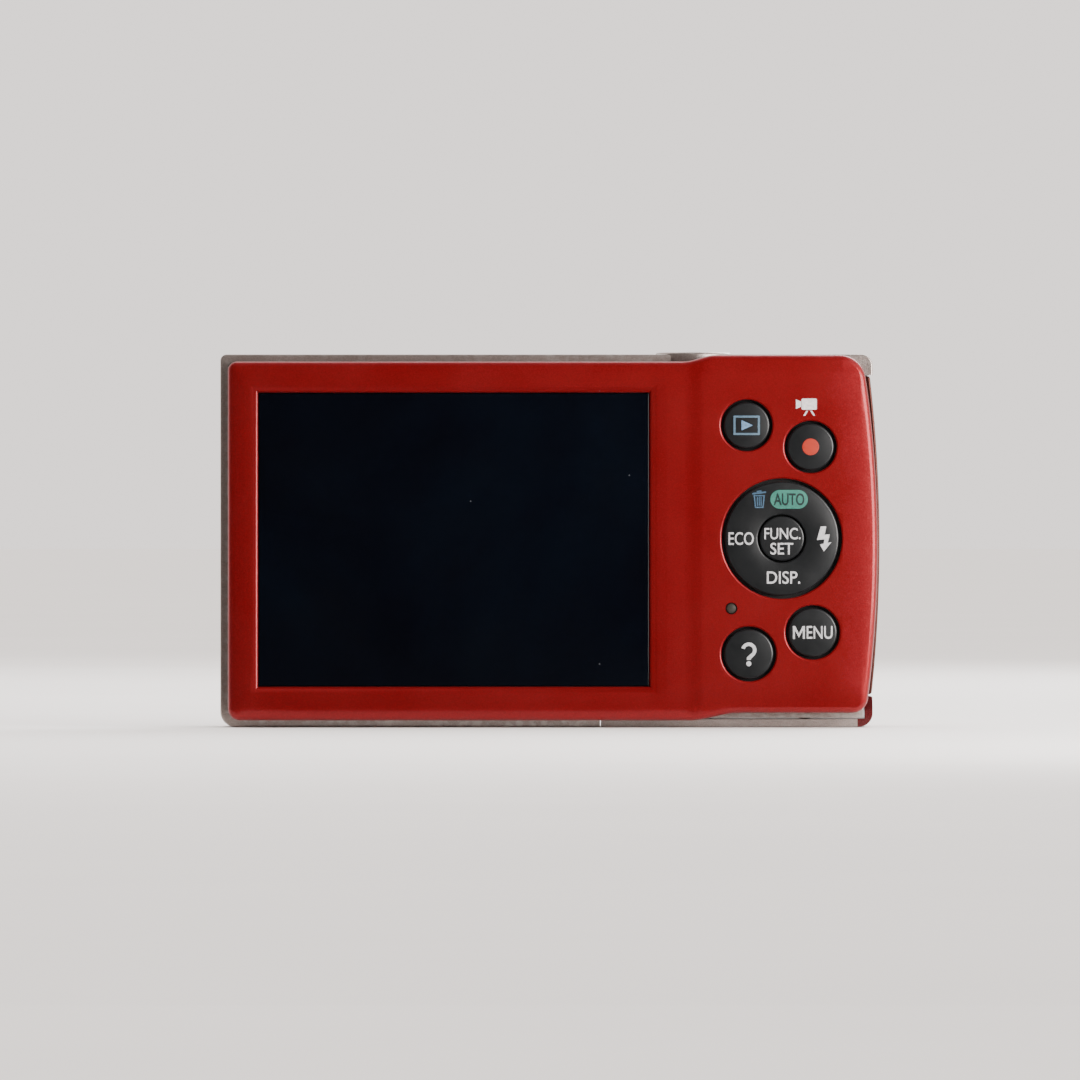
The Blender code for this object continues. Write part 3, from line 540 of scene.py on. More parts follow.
def handling_group():
    """Uneven gloss from handling: a roughness that drifts between two values."""
    name = "handling"
    if name in bpy.data.node_groups:
        return bpy.data.node_groups[name]
    group, start, end = start_group(name)
    socket(group, "Scale", "NodeSocketFloat", value=120.0)
    socket(group, "Low", "NodeSocketFloat", value=0.3)
    socket(group, "High", "NodeSocketFloat", value=0.4)
    socket(group, "Roughness", "NodeSocketFloat", "OUTPUT")
    link = group.links.new
    place = add(group, "ShaderNodeTexCoord")
    cloud = add(group, "ShaderNodeTexNoise")
    cloud.inputs["Detail"].default_value = 5.0
    cloud.inputs["Roughness"].default_value = 0.62
    cloud.inputs["Distortion"].default_value = 0.4
    link(place.outputs["Object"], cloud.inputs["Vector"])
    link(start.outputs["Scale"], cloud.inputs["Scale"])
    spread = add(group, "ShaderNodeMapRange")
    spread.inputs["From Min"].default_value = 0.35
    spread.inputs["From Max"].default_value = 0.68
    link(cloud.outputs["Fac"], spread.inputs["Value"])
    link(start.outputs["Low"], spread.inputs["To Min"])
    link(start.outputs["High"], spread.inputs["To Max"])
    link(spread.outputs["Result"], end.inputs["Roughness"])
    return group


def grain_group():
    """The fine texture of moulded or painted surfaces, as a height."""
    name = "fine_grain"
    if name in bpy.data.node_groups:
        return bpy.data.node_groups[name]
    group, start, end = start_group(name)
    socket(group, "Scale", "NodeSocketFloat", value=4000.0)
    socket(group, "Height", "NodeSocketFloat", "OUTPUT")
    link = group.links.new
    place = add(group, "ShaderNodeTexCoord")
    fine = add(group, "ShaderNodeTexNoise")
    fine.inputs["Detail"].default_value = 3.0
    link(place.outputs["Object"], fine.inputs["Vector"])
    link(start.outputs["Scale"], fine.inputs["Scale"])
    pits = add(group, "ShaderNodeTexVoronoi")
    link(place.outputs["Object"], pits.inputs["Vector"])
    link(start.outputs["Scale"], pits.inputs["Scale"])
    joined = maths(group, "ADD", fine.outputs["Fac"], pits.outputs["Distance"])
    link(maths(group, "MULTIPLY", joined, 0.5), end.inputs["Height"])
    return group


def speck_group():
    """Sparse dust: small round specks, each cell keeping one or none."""
    name = "specks"
    if name in bpy.data.node_groups:
        return bpy.data.node_groups[name]
    group, start, end = start_group(name)
    socket(group, "Scale", "NodeSocketFloat", value=900.0)
    socket(group, "Size", "NodeSocketFloat", value=0.12)
    socket(group, "Share", "NodeSocketFloat", value=0.05)
    socket(group, "Mask", "NodeSocketFloat", "OUTPUT")
    link = group.links.new
    place = add(group, "ShaderNodeTexCoord")
    cells = add(group, "ShaderNodeTexVoronoi")
    link(place.outputs["Object"], cells.inputs["Vector"])
    link(start.outputs["Scale"], cells.inputs["Scale"])
    parts = add(group, "ShaderNodeSeparateColor")
    link(cells.outputs["Color"], parts.inputs[0])
    chosen = maths(group, "LESS_THAN", parts.outputs[0], start.outputs["Share"])
    near = maths(group, "LESS_THAN", cells.outputs["Distance"], start.outputs["Size"])
    link(maths(group, "MULTIPLY", chosen, near), end.inputs["Mask"])
    return group


def edge_group():
    """Where a surface turns sharply outwards, as on the edges that wear first."""
    name = "worn_edge"
    if name in bpy.data.node_groups:
        return bpy.data.node_groups[name]
    group, start, end = start_group(name)
    socket(group, "From", "NodeSocketFloat", value=0.52)
    socket(group, "To", "NodeSocketFloat", value=0.6)
    socket(group, "Breakup", "NodeSocketFloat", value=1500.0)
    socket(group, "Mask", "NodeSocketFloat", "OUTPUT")
    link = group.links.new
    shape = add(group, "ShaderNodeNewGeometry")
    spread = add(group, "ShaderNodeMapRange")
    link(shape.outputs["Pointiness"], spread.inputs["Value"])
    link(start.outputs["From"], spread.inputs["From Min"])
    link(start.outputs["To"], spread.inputs["From Max"])
    place = add(group, "ShaderNodeTexCoord")
    broken = add(group, "ShaderNodeTexNoise")
    broken.inputs["Detail"].default_value = 4.0
    link(place.outputs["Object"], broken.inputs["Vector"])
    link(start.outputs["Breakup"], broken.inputs["Scale"])
    kept = add(group, "ShaderNodeMapRange")
    kept.inputs["From Min"].default_value = 0.45
    kept.inputs["From Max"].default_value = 0.62
    link(broken.outputs["Fac"], kept.inputs["Value"])
    link(maths(group, "MULTIPLY", spread.outputs["Result"], kept.outputs["Result"]), end.inputs["Mask"])
    return group


def turning_group():
    """Turning marks about the lens axis, as a height: rings on faces and hoops on walls."""
    name = "turning_marks"
    if name in bpy.data.node_groups:
        return bpy.data.node_groups[name]
    group, start, end = start_group(name)
    socket(group, "Centre", "NodeSocketVector")
    socket(group, "Scale", "NodeSocketFloat", value=5000.0)
    socket(group, "Height", "NodeSocketFloat", "OUTPUT")
    link = group.links.new
    place = add(group, "ShaderNodeTexCoord")
    moved = add(group, "ShaderNodeVectorMath", operation="SUBTRACT")
    link(place.outputs["Object"], moved.inputs[0])
    link(start.outputs["Centre"], moved.inputs[1])
    parts = add(group, "ShaderNodeSeparateXYZ")
    link(moved.outputs[0], parts.inputs[0])
    across = maths(group, "MULTIPLY", parts.outputs["X"], parts.outputs["X"])
    upward = maths(group, "MULTIPLY", parts.outputs["Z"], parts.outputs["Z"])
    radius = maths(group, "SQRT", maths(group, "ADD", across, upward))
    marks = []
    for distance in (radius, parts.outputs["Y"]):
        lines = add(group, "ShaderNodeTexNoise", noise_dimensions="1D")
        lines.inputs["Detail"].default_value = 2.0
        link(distance, lines.inputs["W"])
        link(start.outputs["Scale"], lines.inputs["Scale"])
        marks.append(lines.outputs["Fac"])
    link(maths(group, "MULTIPLY", maths(group, "ADD", *marks), 0.5), end.inputs["Height"])
    return group


# ---------------------------------------------------------------- materials


def use(tree, group, **values):
    """Place a shader group in a material and set its inputs by name."""
    node = add(tree, "ShaderNodeGroup", node_tree=group)
    for key, value in values.items():
        node.inputs[key.capitalize()].default_value = value
    return node


def start_material(name):
    made = bpy.data.materials.new(name)
    made.use_nodes = True
    return made, made.node_tree, made.node_tree.nodes["Principled BSDF"]


def opaque(colour, share=1.0):
    """A share of a colour, with full alpha."""
    return tuple(share * c for c in colour) + (1.0,)


def handling(tree, scale, low, high):
    """A value that drifts between two others, from the handling group."""
    return use(tree, handling_group(), scale=scale, low=low, high=high).outputs["Roughness"]


def coat(tree, shader, colour, scale, roughness, metallic=0.0):
    """Feed a colour, an uneven gloss and a metallic share to the shader."""
    tree.links.new(colour, shader.inputs["Base Color"])
    tree.links.new(handling(tree, scale, *roughness), shader.inputs["Roughness"])
    shader.inputs["Metallic"].default_value = metallic


def bump(tree, shader, height, strength, distance=0.02 * MM):
    """Feed a height to the shader's normal; strength and distance set how deep it looks."""
    node = add(tree, "ShaderNodeBump")
    node.inputs["Strength"].default_value = strength
    node.inputs["Distance"].default_value = distance
    tree.links.new(height, node.inputs["Height"])
    tree.links.new(node.outputs["Normal"], shader.inputs["Normal"])


def mix_colour(tree, factor, one, two):
    node = add(tree, "ShaderNodeMix", data_type="RGBA")
    tree.links.new(factor, node.inputs["Factor"])
    for i, value in ((6, one), (7, two)):
        if isinstance(value, tuple):
            node.inputs[i].default_value = value
        else:
            tree.links.new(value, node.inputs[i])
    return node.outputs[2]


def known(name):
    return bpy.data.materials.get(name)


def paint_finish(name="red_lacquer", colour=None, flake=(0.27, 0.006, 0.010)):
    """Metallic lacquer: flakes, a clear coat, soft handling marks and faint dust."""
    if known(name):
        return known(name)
    made, tree, shader = start_material(name)
    base = opaque(colour or settings().paint_colour)
    flakes = use(tree, flake_group(), color=base, flake=opaque(flake), scale=9000.0, tilt=0.12, share=0.5)
    dust = use(tree, speck_group(), scale=420.0, size=0.05, share=0.015)
    dusty = mix_colour(tree, dust.outputs["Mask"], flakes.outputs["Color"], (0.16, 0.05, 0.045, 1.0))
    coat(tree, shader, dusty, 70.0, (0.34, 0.44), 0.55)
    tree.links.new(flakes.outputs["Normal"], shader.inputs["Normal"])
    shader.inputs["Specular IOR Level"].default_value = 0.25
    shader.inputs["Coat Weight"].default_value = 0.24
    shader.inputs["Coat Roughness"].default_value = 0.14
    return made


def silver_finish(name="silver_paint", colour=None, roughness=(0.30, 0.42), worn=True):
    """Silver paint with coarse grey-brown flake and rubbed edges."""
    if known(name):
        return known(name)
    made, tree, shader = start_material(name)
    colour = colour or settings().band_colour
    flakes = use(tree, flake_group(), color=opaque(colour), flake=opaque(colour, 0.6), scale=9000.0,
                 tilt=0.12, share=0.6)
    colour_out = flakes.outputs["Color"]
    if worn:
        edge = use(tree, edge_group(), breakup=900.0)
        colour_out = mix_colour(tree, edge.outputs["Mask"], colour_out, (0.42, 0.38, 0.35, 1.0))
    coat(tree, shader, colour_out, 110.0, roughness, 0.75)
    tree.links.new(flakes.outputs["Normal"], shader.inputs["Normal"])
    shader.inputs["Coat Weight"].default_value = 0.3
    shader.inputs["Coat Roughness"].default_value = 0.2
    return made


def moulded_finish(name, colour, roughness=(0.38, 0.5), grain=5000.0, depth=0.25, dust=0.0,
                   specular=0.5):
    """Moulded plastic or rubber with a fine grain and uneven gloss."""
    if known(name):
        return known(name)
    made, tree, shader = start_material(name)
    lighter = opaque(min(1.0, c * 1.5 + 0.004) for c in colour)
    colour_out = mix_colour(tree, handling(tree, 420.0, 0.0, 0.35), opaque(colour), lighter)
    if dust:
        specks = use(tree, speck_group(), scale=1300.0, size=0.16, share=dust)
        colour_out = mix_colour(tree, specks.outputs["Mask"], colour_out, (0.22, 0.21, 0.2, 1.0))
    coat(tree, shader, colour_out, 180.0, roughness)
    shader.inputs["Specular IOR Level"].default_value = specular
    texture = use(tree, grain_group(), scale=grain)
    bump(tree, shader, texture.outputs["Height"], depth)
    return made


def turned_finish(name, colour, roughness):
    """Turned and anodised metal about the lens axis."""
    if known(name):
        return known(name)
    made, tree, shader = start_material(name)
    marks = use(tree, turning_group(), centre=(LENS.x * MM, 0.0, LENS.z * MM), scale=9000.0)
    ringed = mix_colour(tree, marks.outputs["Height"], opaque(colour, 0.8), opaque(colour))
    coat(tree, shader, ringed, 140.0, roughness, 0.9)
    bump(tree, shader, marks.outputs["Height"], 0.35, 0.01 * MM)
    return made


def sheet_finish(name, colour, roughness=(0.25, 0.4), stretch=(1.0, 1.0, 12.0)):
    """Rolled or plated metal with faint drawn lines."""
    if known(name):
        return known(name)
    made, tree, shader = start_material(name)
    place = add(tree, "ShaderNodeTexCoord")
    drawn = add(tree, "ShaderNodeMapping")
    drawn.inputs["Scale"].default_value = stretch
    lines = add(tree, "ShaderNodeTexNoise")
    lines.inputs["Scale"].default_value = 900.0
    lines.inputs["Detail"].default_value = 4.0
    tree.links.new(place.outputs["Object"], drawn.inputs["Vector"])
    tree.links.new(drawn.outputs["Vector"], lines.inputs["Vector"])
    drawn_colour = mix_colour(tree, lines.outputs["Fac"], opaque(colour, 0.7), opaque(colour))
    coat(tree, shader, drawn_colour, 260.0, roughness, 1.0)
    bump(tree, shader, lines.outputs["Fac"], 0.25, 0.01 * MM)
    return made


def window_finish():
    """The dark window: deep blue-black under gloss, with handling marks and a few specks."""
    name = "dark_window"
    if known(name):
        return known(name)
    made, tree, shader = start_material(name)
    tinted = mix_colour(tree, handling(tree, 28.0, 0.0, 1.0), (0.0008, 0.0010, 0.0022, 1.0),
                        opaque(settings().window_colour))
    specks = use(tree, speck_group(), scale=700.0, size=0.07, share=0.012)
    specked = mix_colour(tree, specks.outputs["Mask"], tinted, (0.05, 0.055, 0.06, 1.0))
    coat(tree, shader, specked, 60.0, (0.08, 0.16))
    shader.inputs["Specular IOR Level"].default_value = 0.3
    return made


def ink_finish(name, colour):
    """Printed ink, slightly uneven and slightly rubbed."""
    if known(name):
        return known(name)
    made, tree, shader = start_material(name)
    uneven = mix_colour(tree, handling(tree, 2600.0, 0.0, 1.0), opaque(colour, 0.72), opaque(colour))
    coat(tree, shader, uneven, 900.0, (0.42, 0.6))
    return made


def clear_finish(name, colour, roughness=0.03, ior=1.5, tint=0.0):
    """Clear glass or plastic with faint handling marks."""
    if known(name):
        return known(name)
    made, tree, shader = start_material(name)
    tinted = mix_colour(tree, handling(tree, 160.0, 0.0, 1.0), opaque(colour, 1.0 - tint), opaque(colour))
    coat(tree, shader, tinted, 220.0, (roughness, roughness + 0.05))
    shader.inputs["IOR"].default_value = ior
    shader.inputs["Transmission Weight"].default_value = 1.0
    return made


def board_finish():
    """Green solder mask with copper tracks and pads."""
    name = "circuit_board"
    if known(name):
        return known(name)
    made, tree, shader = start_material(name)
    place = add(tree, "ShaderNodeTexCoord")
    tracks = add(tree, "ShaderNodeTexVoronoi", distance="MANHATTAN")
    tracks.inputs["Scale"].default_value = 700.0
    tree.links.new(place.outputs["Object"], tracks.inputs["Vector"])
    pad = maths(tree, "LESS_THAN", tracks.outputs["Distance"], 0.22)
    colour_out = mix_colour(tree, pad, (0.012, 0.10, 0.045, 1.0), (0.55, 0.40, 0.12, 1.0))
    coat(tree, shader, colour_out, 300.0, (0.3, 0.5))
    bump(tree, shader, pad, 0.4)
    return made


def floor_finish():
    """Plain pale stone-like surface, almost even."""
    name = "pale_floor"
    if known(name):
        return known(name)
    made, tree, shader = start_material(name)
    colour = settings().floor_colour
    uneven = mix_colour(tree, handling(tree, 9.0, 0.0, 1.0), opaque(colour, 0.97), opaque(colour))
    tree.links.new(uneven, shader.inputs["Base Color"])
    shader.inputs["Roughness"].default_value = 0.85
    return made


def nylon():
    return moulded_finish("black_nylon", (0.012, 0.012, 0.012))


def plated_steel():
    return sheet_finish("plated_steel", (0.55, 0.54, 0.52))


def pin_steel():
    return sheet_finish("pin_steel", (0.6, 0.58, 0.55))


def pale_ink():
    return ink_finish("pale_ink", (0.40, 0.40, 0.41))


def key_finish():
    return moulded_finish("key_satin", settings().key_colour, (0.3, 0.4), grain=6500.0, depth=0.22,
                          dust=0.02, specular=0.42)


# ---------------------------------------------------------------- placing


def fit(piece, body, slot, material, *nodes):
    """Give a piece its finish, its body and the frame nodes that it stands for; the slot is not used."""
    piece.data.materials.clear()
    piece.data.materials.append(material)
    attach(piece, body)
    if nodes:
        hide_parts(*nodes)
    return piece


def recolour(node, material):
    """A frame node that is shown as it is, with a finish of its own."""
    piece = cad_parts[node]
    piece.data.materials.clear()
    piece.data.materials.append(material)


# ---------------------------------------------------------------- covers


def cover_body(name, face_y, rim_y):
    """A hollow cover whose broad face falls away softly at its edges."""
    outline = cover_outline()
    out = 1 if face_y > rim_y else -1
    low, high = min(face_y, rim_y), max(face_y, rim_y)
    edge_round = set_length("edge_round")
    rims = {"round_high": edge_round} if out > 0 else {"round_low": edge_round}
    shape = plate_shape(outline, low, high, segments=6, **rims)
    near_x = (WINDOW_LOW.x - 0.5, WINDOW_HIGH.x, -20.9) if out > 0 else ()
    near_z = (WINDOW_LOW.z, WINDOW_HIGH.z) if out > 0 else ()
    slice_face(shape, face_y, stations(BACK_LOW.x, BACK_HIGH.x, 2.5, near_x),
               stations(COVER_BASE_Z, GRIP_TOP_Z, 2.5, near_z))
    for vert in shape.verts:
        if abs(vert.co.y - face_y) > edge_round + 0.02:
            continue
        fall = crown_fall(vert.co.x, vert.co.z)
        if out > 0:
            fall += screen_fall(vert.co.x, vert.co.z)
        vert.co.y -= out * fall
    cover = to_object(name, shape, weigh=True)
    inner = (low - 2.0, face_y - WALL - 0.3) if out > 0 else (face_y + WALL + 0.3, high + 2.0)
    hollow = plate(f"{name}_hollow", inset(outline, WALL), *inner)
    return combine(cover, [hollow])


def crown_fall(x, z):
    """How far a cover's face falls away towards its edge."""
    inside = max(0.0, edge_distance(x, z)) / CROWN_REACH
    return set_length("crown") * (1.0 - min(1.0, inside)) ** 2


def screen_fall(x, z):
    """How far the back face sits below its highest level: lower beside the screen, dished at the window."""
    lower_side = 0.2 * ease((x + 22.2) / 2.6)
    beyond_x = max(WINDOW_LOW.x - x, x - WINDOW_HIGH.x, 0.0)
    beyond_z = max(WINDOW_LOW.z - z, z - WINDOW_HIGH.z, 0.0)
    reach = math.hypot(beyond_x, beyond_z) / 3.2
    return lower_side + 0.15 * (1.0 - ease(reach))


def hole_cutter(name, centre, radius, face_y, out):
    """A round hole with a softly rounded mouth."""
    mouth = 0.28
    profile = [(0.0, face_y - out * 4.0), (radius, face_y - out * 4.0)]
    for i in range(6):
        angle = math.pi / 2 * i / 5
        profile.append((radius + mouth * (1 - math.cos(angle)), face_y - out * mouth * (1 - math.sin(angle))))
    profile += [(radius + mouth, face_y + out * 2.0), (0.0, face_y + out * 2.0)]
    return turned(name, profile, centre, "Y")


def deck_cutter():
    """The round opening that the covers leave for the release and the zoom lever."""
    return rod("hole_deck", WELL_R + WELL_GAP, 50.0, BEYOND_Z, RELEASE, "Z", 96)


def window_cutter(face_y):
    """The opening round the window, flaring out through the bezel."""
    gap, slope = 0.12, set_length("bezel_slope")
    middle = (WINDOW_LOW + WINDOW_HIGH) / 2
    mouth_y = face_y - 0.77
    shape = box_shape((WINDOW_LOW.x - gap, 4.0, WINDOW_LOW.z - gap),
                      (WINDOW_HIGH.x + gap, mouth_y, WINDOW_HIGH.z + gap))
    face = max(shape.faces, key=lambda f: f.calc_center_median().y)
    for depth, flare in ((0.2, slope * 0.2), (0.13, slope * 0.28), (0.09, slope * 0.52),
                         (0.2, 1.0), (2.0, 0.0)):
        grown = bmesh.ops.extrude_face_region(shape, geom=[face])["geom"]
        bmesh.ops.delete(shape, geom=[face], context="FACES_ONLY")
        face = next(g for g in grown if isinstance(g, bmesh.types.BMFace))
        verts = list(face.verts)
        bmesh.ops.translate(shape, verts=verts, vec=(0, depth, 0))
        for vert in verts:
            vert.co.x += math.copysign(flare, vert.co.x - middle.x)
            vert.co.z += math.copysign(flare, vert.co.z - middle.z)
    return to_object("window_cutter", shape, smooth=False)


class CAMERA_OT_back_cover(bpy.types.Operator):
    """Model the back cover with its window opening and key holes"""

    bl_idname = "camera_parts.back_cover"
    bl_label = "Back cover"

    def execute(self, context):
        face_y = BACK_HIGH.y
        cover = cover_body("rear_shell", face_y, BACK_LOW.y)
        cutters = [window_cutter(face_y)]
        for key, radius in KEYS.items():
            cutters.append(hole_cutter(f"hole_{key}", node_middle(key), radius, face_y, 1))
        cutters.append(hole_cutter("hole_nav", NAV, NAV_HOLE_R, face_y, 1))
        lamp = node_middle("indicator_lamp")
        cutters.append(rod("hole_lamp", 0.85, face_y - 3, face_y + 2, lamp, "Y"))
        cutters.append(deck_cutter())
        combine(cover, cutters)
        shade(cover, 40.0, weigh=True)
        fit(cover, "camera_body", "red_metal", paint_finish(), "back_cover")
        return {"FINISHED"}


class CAMERA_OT_front_cover(bpy.types.Operator):
    """Model the front cover with its lens, flash and lamp openings"""

    bl_idname = "camera_parts.front_cover"
    bl_label = "Front cover"

    def execute(self, context):
        face_y = FRONT_LOW.y
        cover = cover_body("front_shell", face_y, FRONT_HIGH.y)
        low, high = node_box("flash_window")
        gap = 0.15
        outline = rounded_box((low.x - gap, low.z - gap), (high.x + gap, high.z + gap), 0.9)
        cutters = [
            rod("hole_lens", 16.0, face_y - 2, face_y + 4, LENS, "Y", 96),
            plate("hole_flash", outline, face_y - 2, face_y + 4),
            hole_cutter("hole_af", node_middle("af_lamp"), node_radius("af_lamp") + 0.12, face_y, -1),
            deck_cutter(),
        ]
        combine(cover, cutters)
        shade(cover, 40.0, weigh=True)
        fit(cover, "camera_body", "red_metal", paint_finish(), "front_cover")
        return {"FINISHED"}


# ---------------------------------------------------------------- band and grip side


BAND_WALL = 1.2
SIDE_WALL_X = (-45.2, -44.0)
WELL_ROOF_Z = 51.0
WELL_BLOCK_X = -12.5
USB_Z = (44.1, 48.5)
# A screw whose middle lies past this place has its head on the high side.
HIGH_SIDE = 10.0
SCREWS = ("screw_base", "screw_end_low", "screw_end_high", "screw_panel_low", "screw_panel_high")


def screw_place(node):
    """Axis, side, height of the head and centre of a case screw."""
    low, high = node_box(node)
    size = high - low
    axis = "XYZ"[max(range(3), key=lambda i: size[i])]
    i = "XYZ".index(axis)
    middle = (low + high) / 2
    side = 1 if middle[i] > HIGH_SIDE else -1
    return axis, side, (high if side > 0 else low)[i], middle


def screw_hole(node):
    axis, side, head, centre = screw_place(node)
    profile = [(0.0, head + side * 1.2), (1.5, head + side * 1.2), (1.5, head - side * 0.65),
               (0.9, head - side * 0.65), (0.9, head - side * 5.0), (0.0, head - side * 5.0)]
    return turned(f"hole_{node}", profile, centre, axis, 48)


class CAMERA_OT_band(bpy.types.Operator):
    """Model the silver band round the edge, with its wells, holes and slots"""

    bl_idname = "camera_parts.band"
    bl_label = "Band"

    def execute(self, context):
        right, top, left = BAND_HIGH.x, BAND_HIGH.z, DOOR_LOW.x
        outline = rounded([(right, top, 0.9), (right, 0.0, 2.2), (left, 0.0, 2.0), (left, top, 1.6)])
        band = plate("band", outline, BAND_LOW.y, BAND_HIGH.y, "Y", 0.25, 0.25)
        reach = (BAND_LOW.y - 1, BAND_HIGH.y + 1)
        ceiling = top - BAND_WALL
        inner = rounded([
            (right - BAND_WALL, ceiling, 0.6), (right - BAND_WALL, BAND_WALL, 1.0),
            (SIDE_WALL_X[1], BAND_WALL, 0.6), (SIDE_WALL_X[1], WELL_ROOF_Z, 0.6),
            (WELL_BLOCK_X, WELL_ROOF_Z, 0), (WELL_BLOCK_X, ceiling, 0)], 4)
        combine(band, [plate("band_inside", inner, *reach)])
        well = [(0.0, BEYOND_Z), (WELL_R + 0.3, BEYOND_Z), (WELL_R + 0.3, top), (WELL_R + 0.06, top - 0.1),
                (WELL_R, top - 0.3), (WELL_R, WELL_FLOOR_Z), (2.4, WELL_FLOOR_Z), (2.4, 50.0), (0.0, 50.0)]
        power_well = [(0.0, BEYOND_Z), (2.5, BEYOND_Z), (2.5, top), (2.25, top - 0.15), (2.25, 52.0),
                      (2.35, 50.0), (0.0, 50.0)]
        sockets = [
            block("panel_seat", (BEYOND_X, reach[0], PANEL_LOW.z - 0.15),
                  (SIDE_WALL_X[0], reach[1], PANEL_HIGH.z + 0.15)),
            block("door_way", (BEYOND_X, reach[0], -1), (DOOR_HIGH.x + 0.18, reach[1], DOOR_HIGH.z + 0.18)),
            turned("release_well", well, RELEASE, "Z"),
            turned("power_well", power_well, POWER, "Z", 64),
            rod("tripod_way", 4.12, -1.0, 3.0, node_middle("tripod_socket"), "Z", 96),
            block("port_way", (BEYOND_X, -2.9, USB_Z[0]), (-40, 4.9, USB_Z[1])),
            block("strap_way", (BEYOND_X, STRAP_Y[0], STRAP_Z[0]), (-43, STRAP_Y[1], STRAP_Z[1])),
            block("pin_groove", (BEYOND_X, 0.2, STRAP_Z[0] - 1.6), (-43.7, 1.8, STRAP_Z[1] + 1.6)),
        ]
        speaker, microphone = node_middle("speaker"), node_middle("microphone")
        sound_holes = [speaker + Vector((2.2 * i, 0, 0)) for i in (-1, 0, 1)] + [microphone]
        for i, place in enumerate(sound_holes):
            sockets.append(rod(f"sound_hole_{i}", 0.5, 50.0, BEYOND_Z, place, "Z", 32))
        sockets += [screw_hole(node) for node in SCREWS]
        combine(band, sockets)
        shade(band, 32.0, weigh=True)
        fit(band, "camera_body", "silver_trim", silver_finish(), "mid_frame")
        return {"FINISHED"}


def bowed_outline(low_z, high_z, inner_x, shape, steps=40, corner=0.0):
    """Outline of a slab whose outer side follows a bow."""
    outer = []
    for i in range(steps + 1):
        z = low_z + (high_z - low_z) * i / steps
        outer.append((bow(z, shape), z, 0))
    first, last = outer[0], outer[-1]
    outer[0] = (first[0], first[1], corner)
    outer[-1] = (last[0], last[1], corner)
    return rounded(outer + [(inner_x, high_z, 0), (inner_x, low_z, 0)], 4)


class CAMERA_OT_grip_side(bpy.types.Operator):
    """Model the bowed panel, the port cover, the port and the strap pin"""

    bl_idname = "camera_parts.grip_side"
    bl_label = "Grip side"

    def execute(self, context):
        outline = bowed_outline(PANEL_LOW.z, PANEL_HIGH.z, SIDE_WALL_X[0] - 0.3, PANEL_BOW, corner=0.45)
        panel = plate("grip_panel", outline, PANEL_LOW.y, PANEL_HIGH.y, "Y", 0.3, 0.3)
        near_y, far_y = PORT_LOW.y - 0.14, PORT_HIGH.y + 0.14
        base_z, top_z = PORT_LOW.z - 0.25, PORT_HIGH.z + 0.16
        port = rounded([(near_y, base_z, 0.5), (far_y, base_z, 0.5),
                        (far_y, top_z, 0.7), (near_y, top_z, 0.7)])
        strap = rounded_box((STRAP_Y[0], STRAP_Z[0]), (STRAP_Y[1], STRAP_Z[1]), 1.2)
        cutters = [plate("port_opening", port, BEYOND_X, -44, "X"),
                   plate("strap_opening", strap, BEYOND_X, -44, "X")]
        cutters += [screw_hole(node) for node in SCREWS if "panel" in node]
        combine(panel, cutters)
        shade(panel, 32.0, weigh=True)
        # Near-black red-brown with almost no gloss: partly the panel's own dark colour, partly painted shade
        # copying the dark line that shade lays along this side.
        umber_and_shade = moulded_finish("umber_lacquer", (0.020, 0.0055, 0.0045), (0.4, 0.5), grain=7000.0,
                               depth=0.15, dust=0.01, specular=0.06)
        fit(panel, "camera_body", "umber_lacquer", umber_and_shade, "side_panel")

        hinge_r = 0.75
        outline = arc((-46.2, PORT_LOW.z + hinge_r), hinge_r, 180.0, 360.0, 12)
        outline.append((-45.5, PORT_HIGH.z))
        outline += [(bow(z, PANEL_BOW), z) for z in (PORT_HIGH.z - 0.4 * i for i in range(13))]
        flap = plate("port_flap", outline, PORT_LOW.y, PORT_HIGH.y, "Y", 0.25, 0.25)
        notch = soft_box("flap_notch", (-49.0, -0.6, PORT_HIGH.z - 0.75),
                         (-46.35, 2.6, PORT_HIGH.z + 1.0), 0.2)
        combine(flap, [notch])
        shade(flap, 32.0, weigh=True)
        rubber = moulded_finish("port_rubber", (0.05, 0.047, 0.046), (0.6, 0.75), grain=7000.0, depth=0.35)
        fit(flap, "terminal_cover", "terminal_rubber", rubber, "terminal_cover")

        low, high = node_box("usb_socket")
        shell = soft_box("port_shell", low, high, 0.35)
        wall = 0.4
        hollow = soft_box("port_hollow", (low.x - 2, low.y + wall, low.z + wall),
                          (high.x - 1.0, high.y - wall, high.z - wall), 0.3)
        combine(shell, [hollow])
        shade(shell, 32.0, weigh=True)
        fit(shell, "camera_body", "sheet_steel", plated_steel(), "usb_socket")
        middle = (low + high) / 2
        tongue = soft_box("port_tongue", (low.x + 0.9, low.y + 1.1, middle.z - 0.35),
                          (high.x - 0.9, high.y - 1.1, middle.z + 0.35), 0.1)
        fit(tongue, "camera_body", "inner_plastic", nylon())

        low, high = node_box("strap_pin")
        bar = rounded([(0.0, low.z, 0), (0.5, low.z, 0.12), (0.5, high.z, 0.12), (0.0, high.z, 0)], 3, False)
        pin = turned("strap_bar", bar, (low + high) / 2, "Z", 32)
        fit(pin, "camera_body", "screw_steel", pin_steel(), "strap_pin")
        pocket = soft_box("strap_pocket", (-43.75, STRAP_Y[0] - 1.2, STRAP_Z[0] - 2.0),
                          (-43.4, STRAP_Y[1] + 1.2, STRAP_Z[1] + 2.0), 0.08, 2)
        fit(pocket, "camera_body", "inner_plastic", nylon())
        return {"FINISHED"}


def recess_bar(name, turn, axis, place):
    """One bar of a cross recess, turned by degrees about the screw's axis."""
    bar = box_shape((-0.75, -0.15, -0.35), (0.75, 0.15, 0.35))
    bmesh.ops.rotate(bar, verts=bar.verts, matrix=Matrix.Rotation(math.radians(turn), 3, "Z"))
    bmesh.ops.rotate(bar, verts=bar.verts, matrix=TURN[axis])
    bmesh.ops.translate(bar, verts=bar.verts, vec=place)
    return to_object(name, bar, smooth=False)


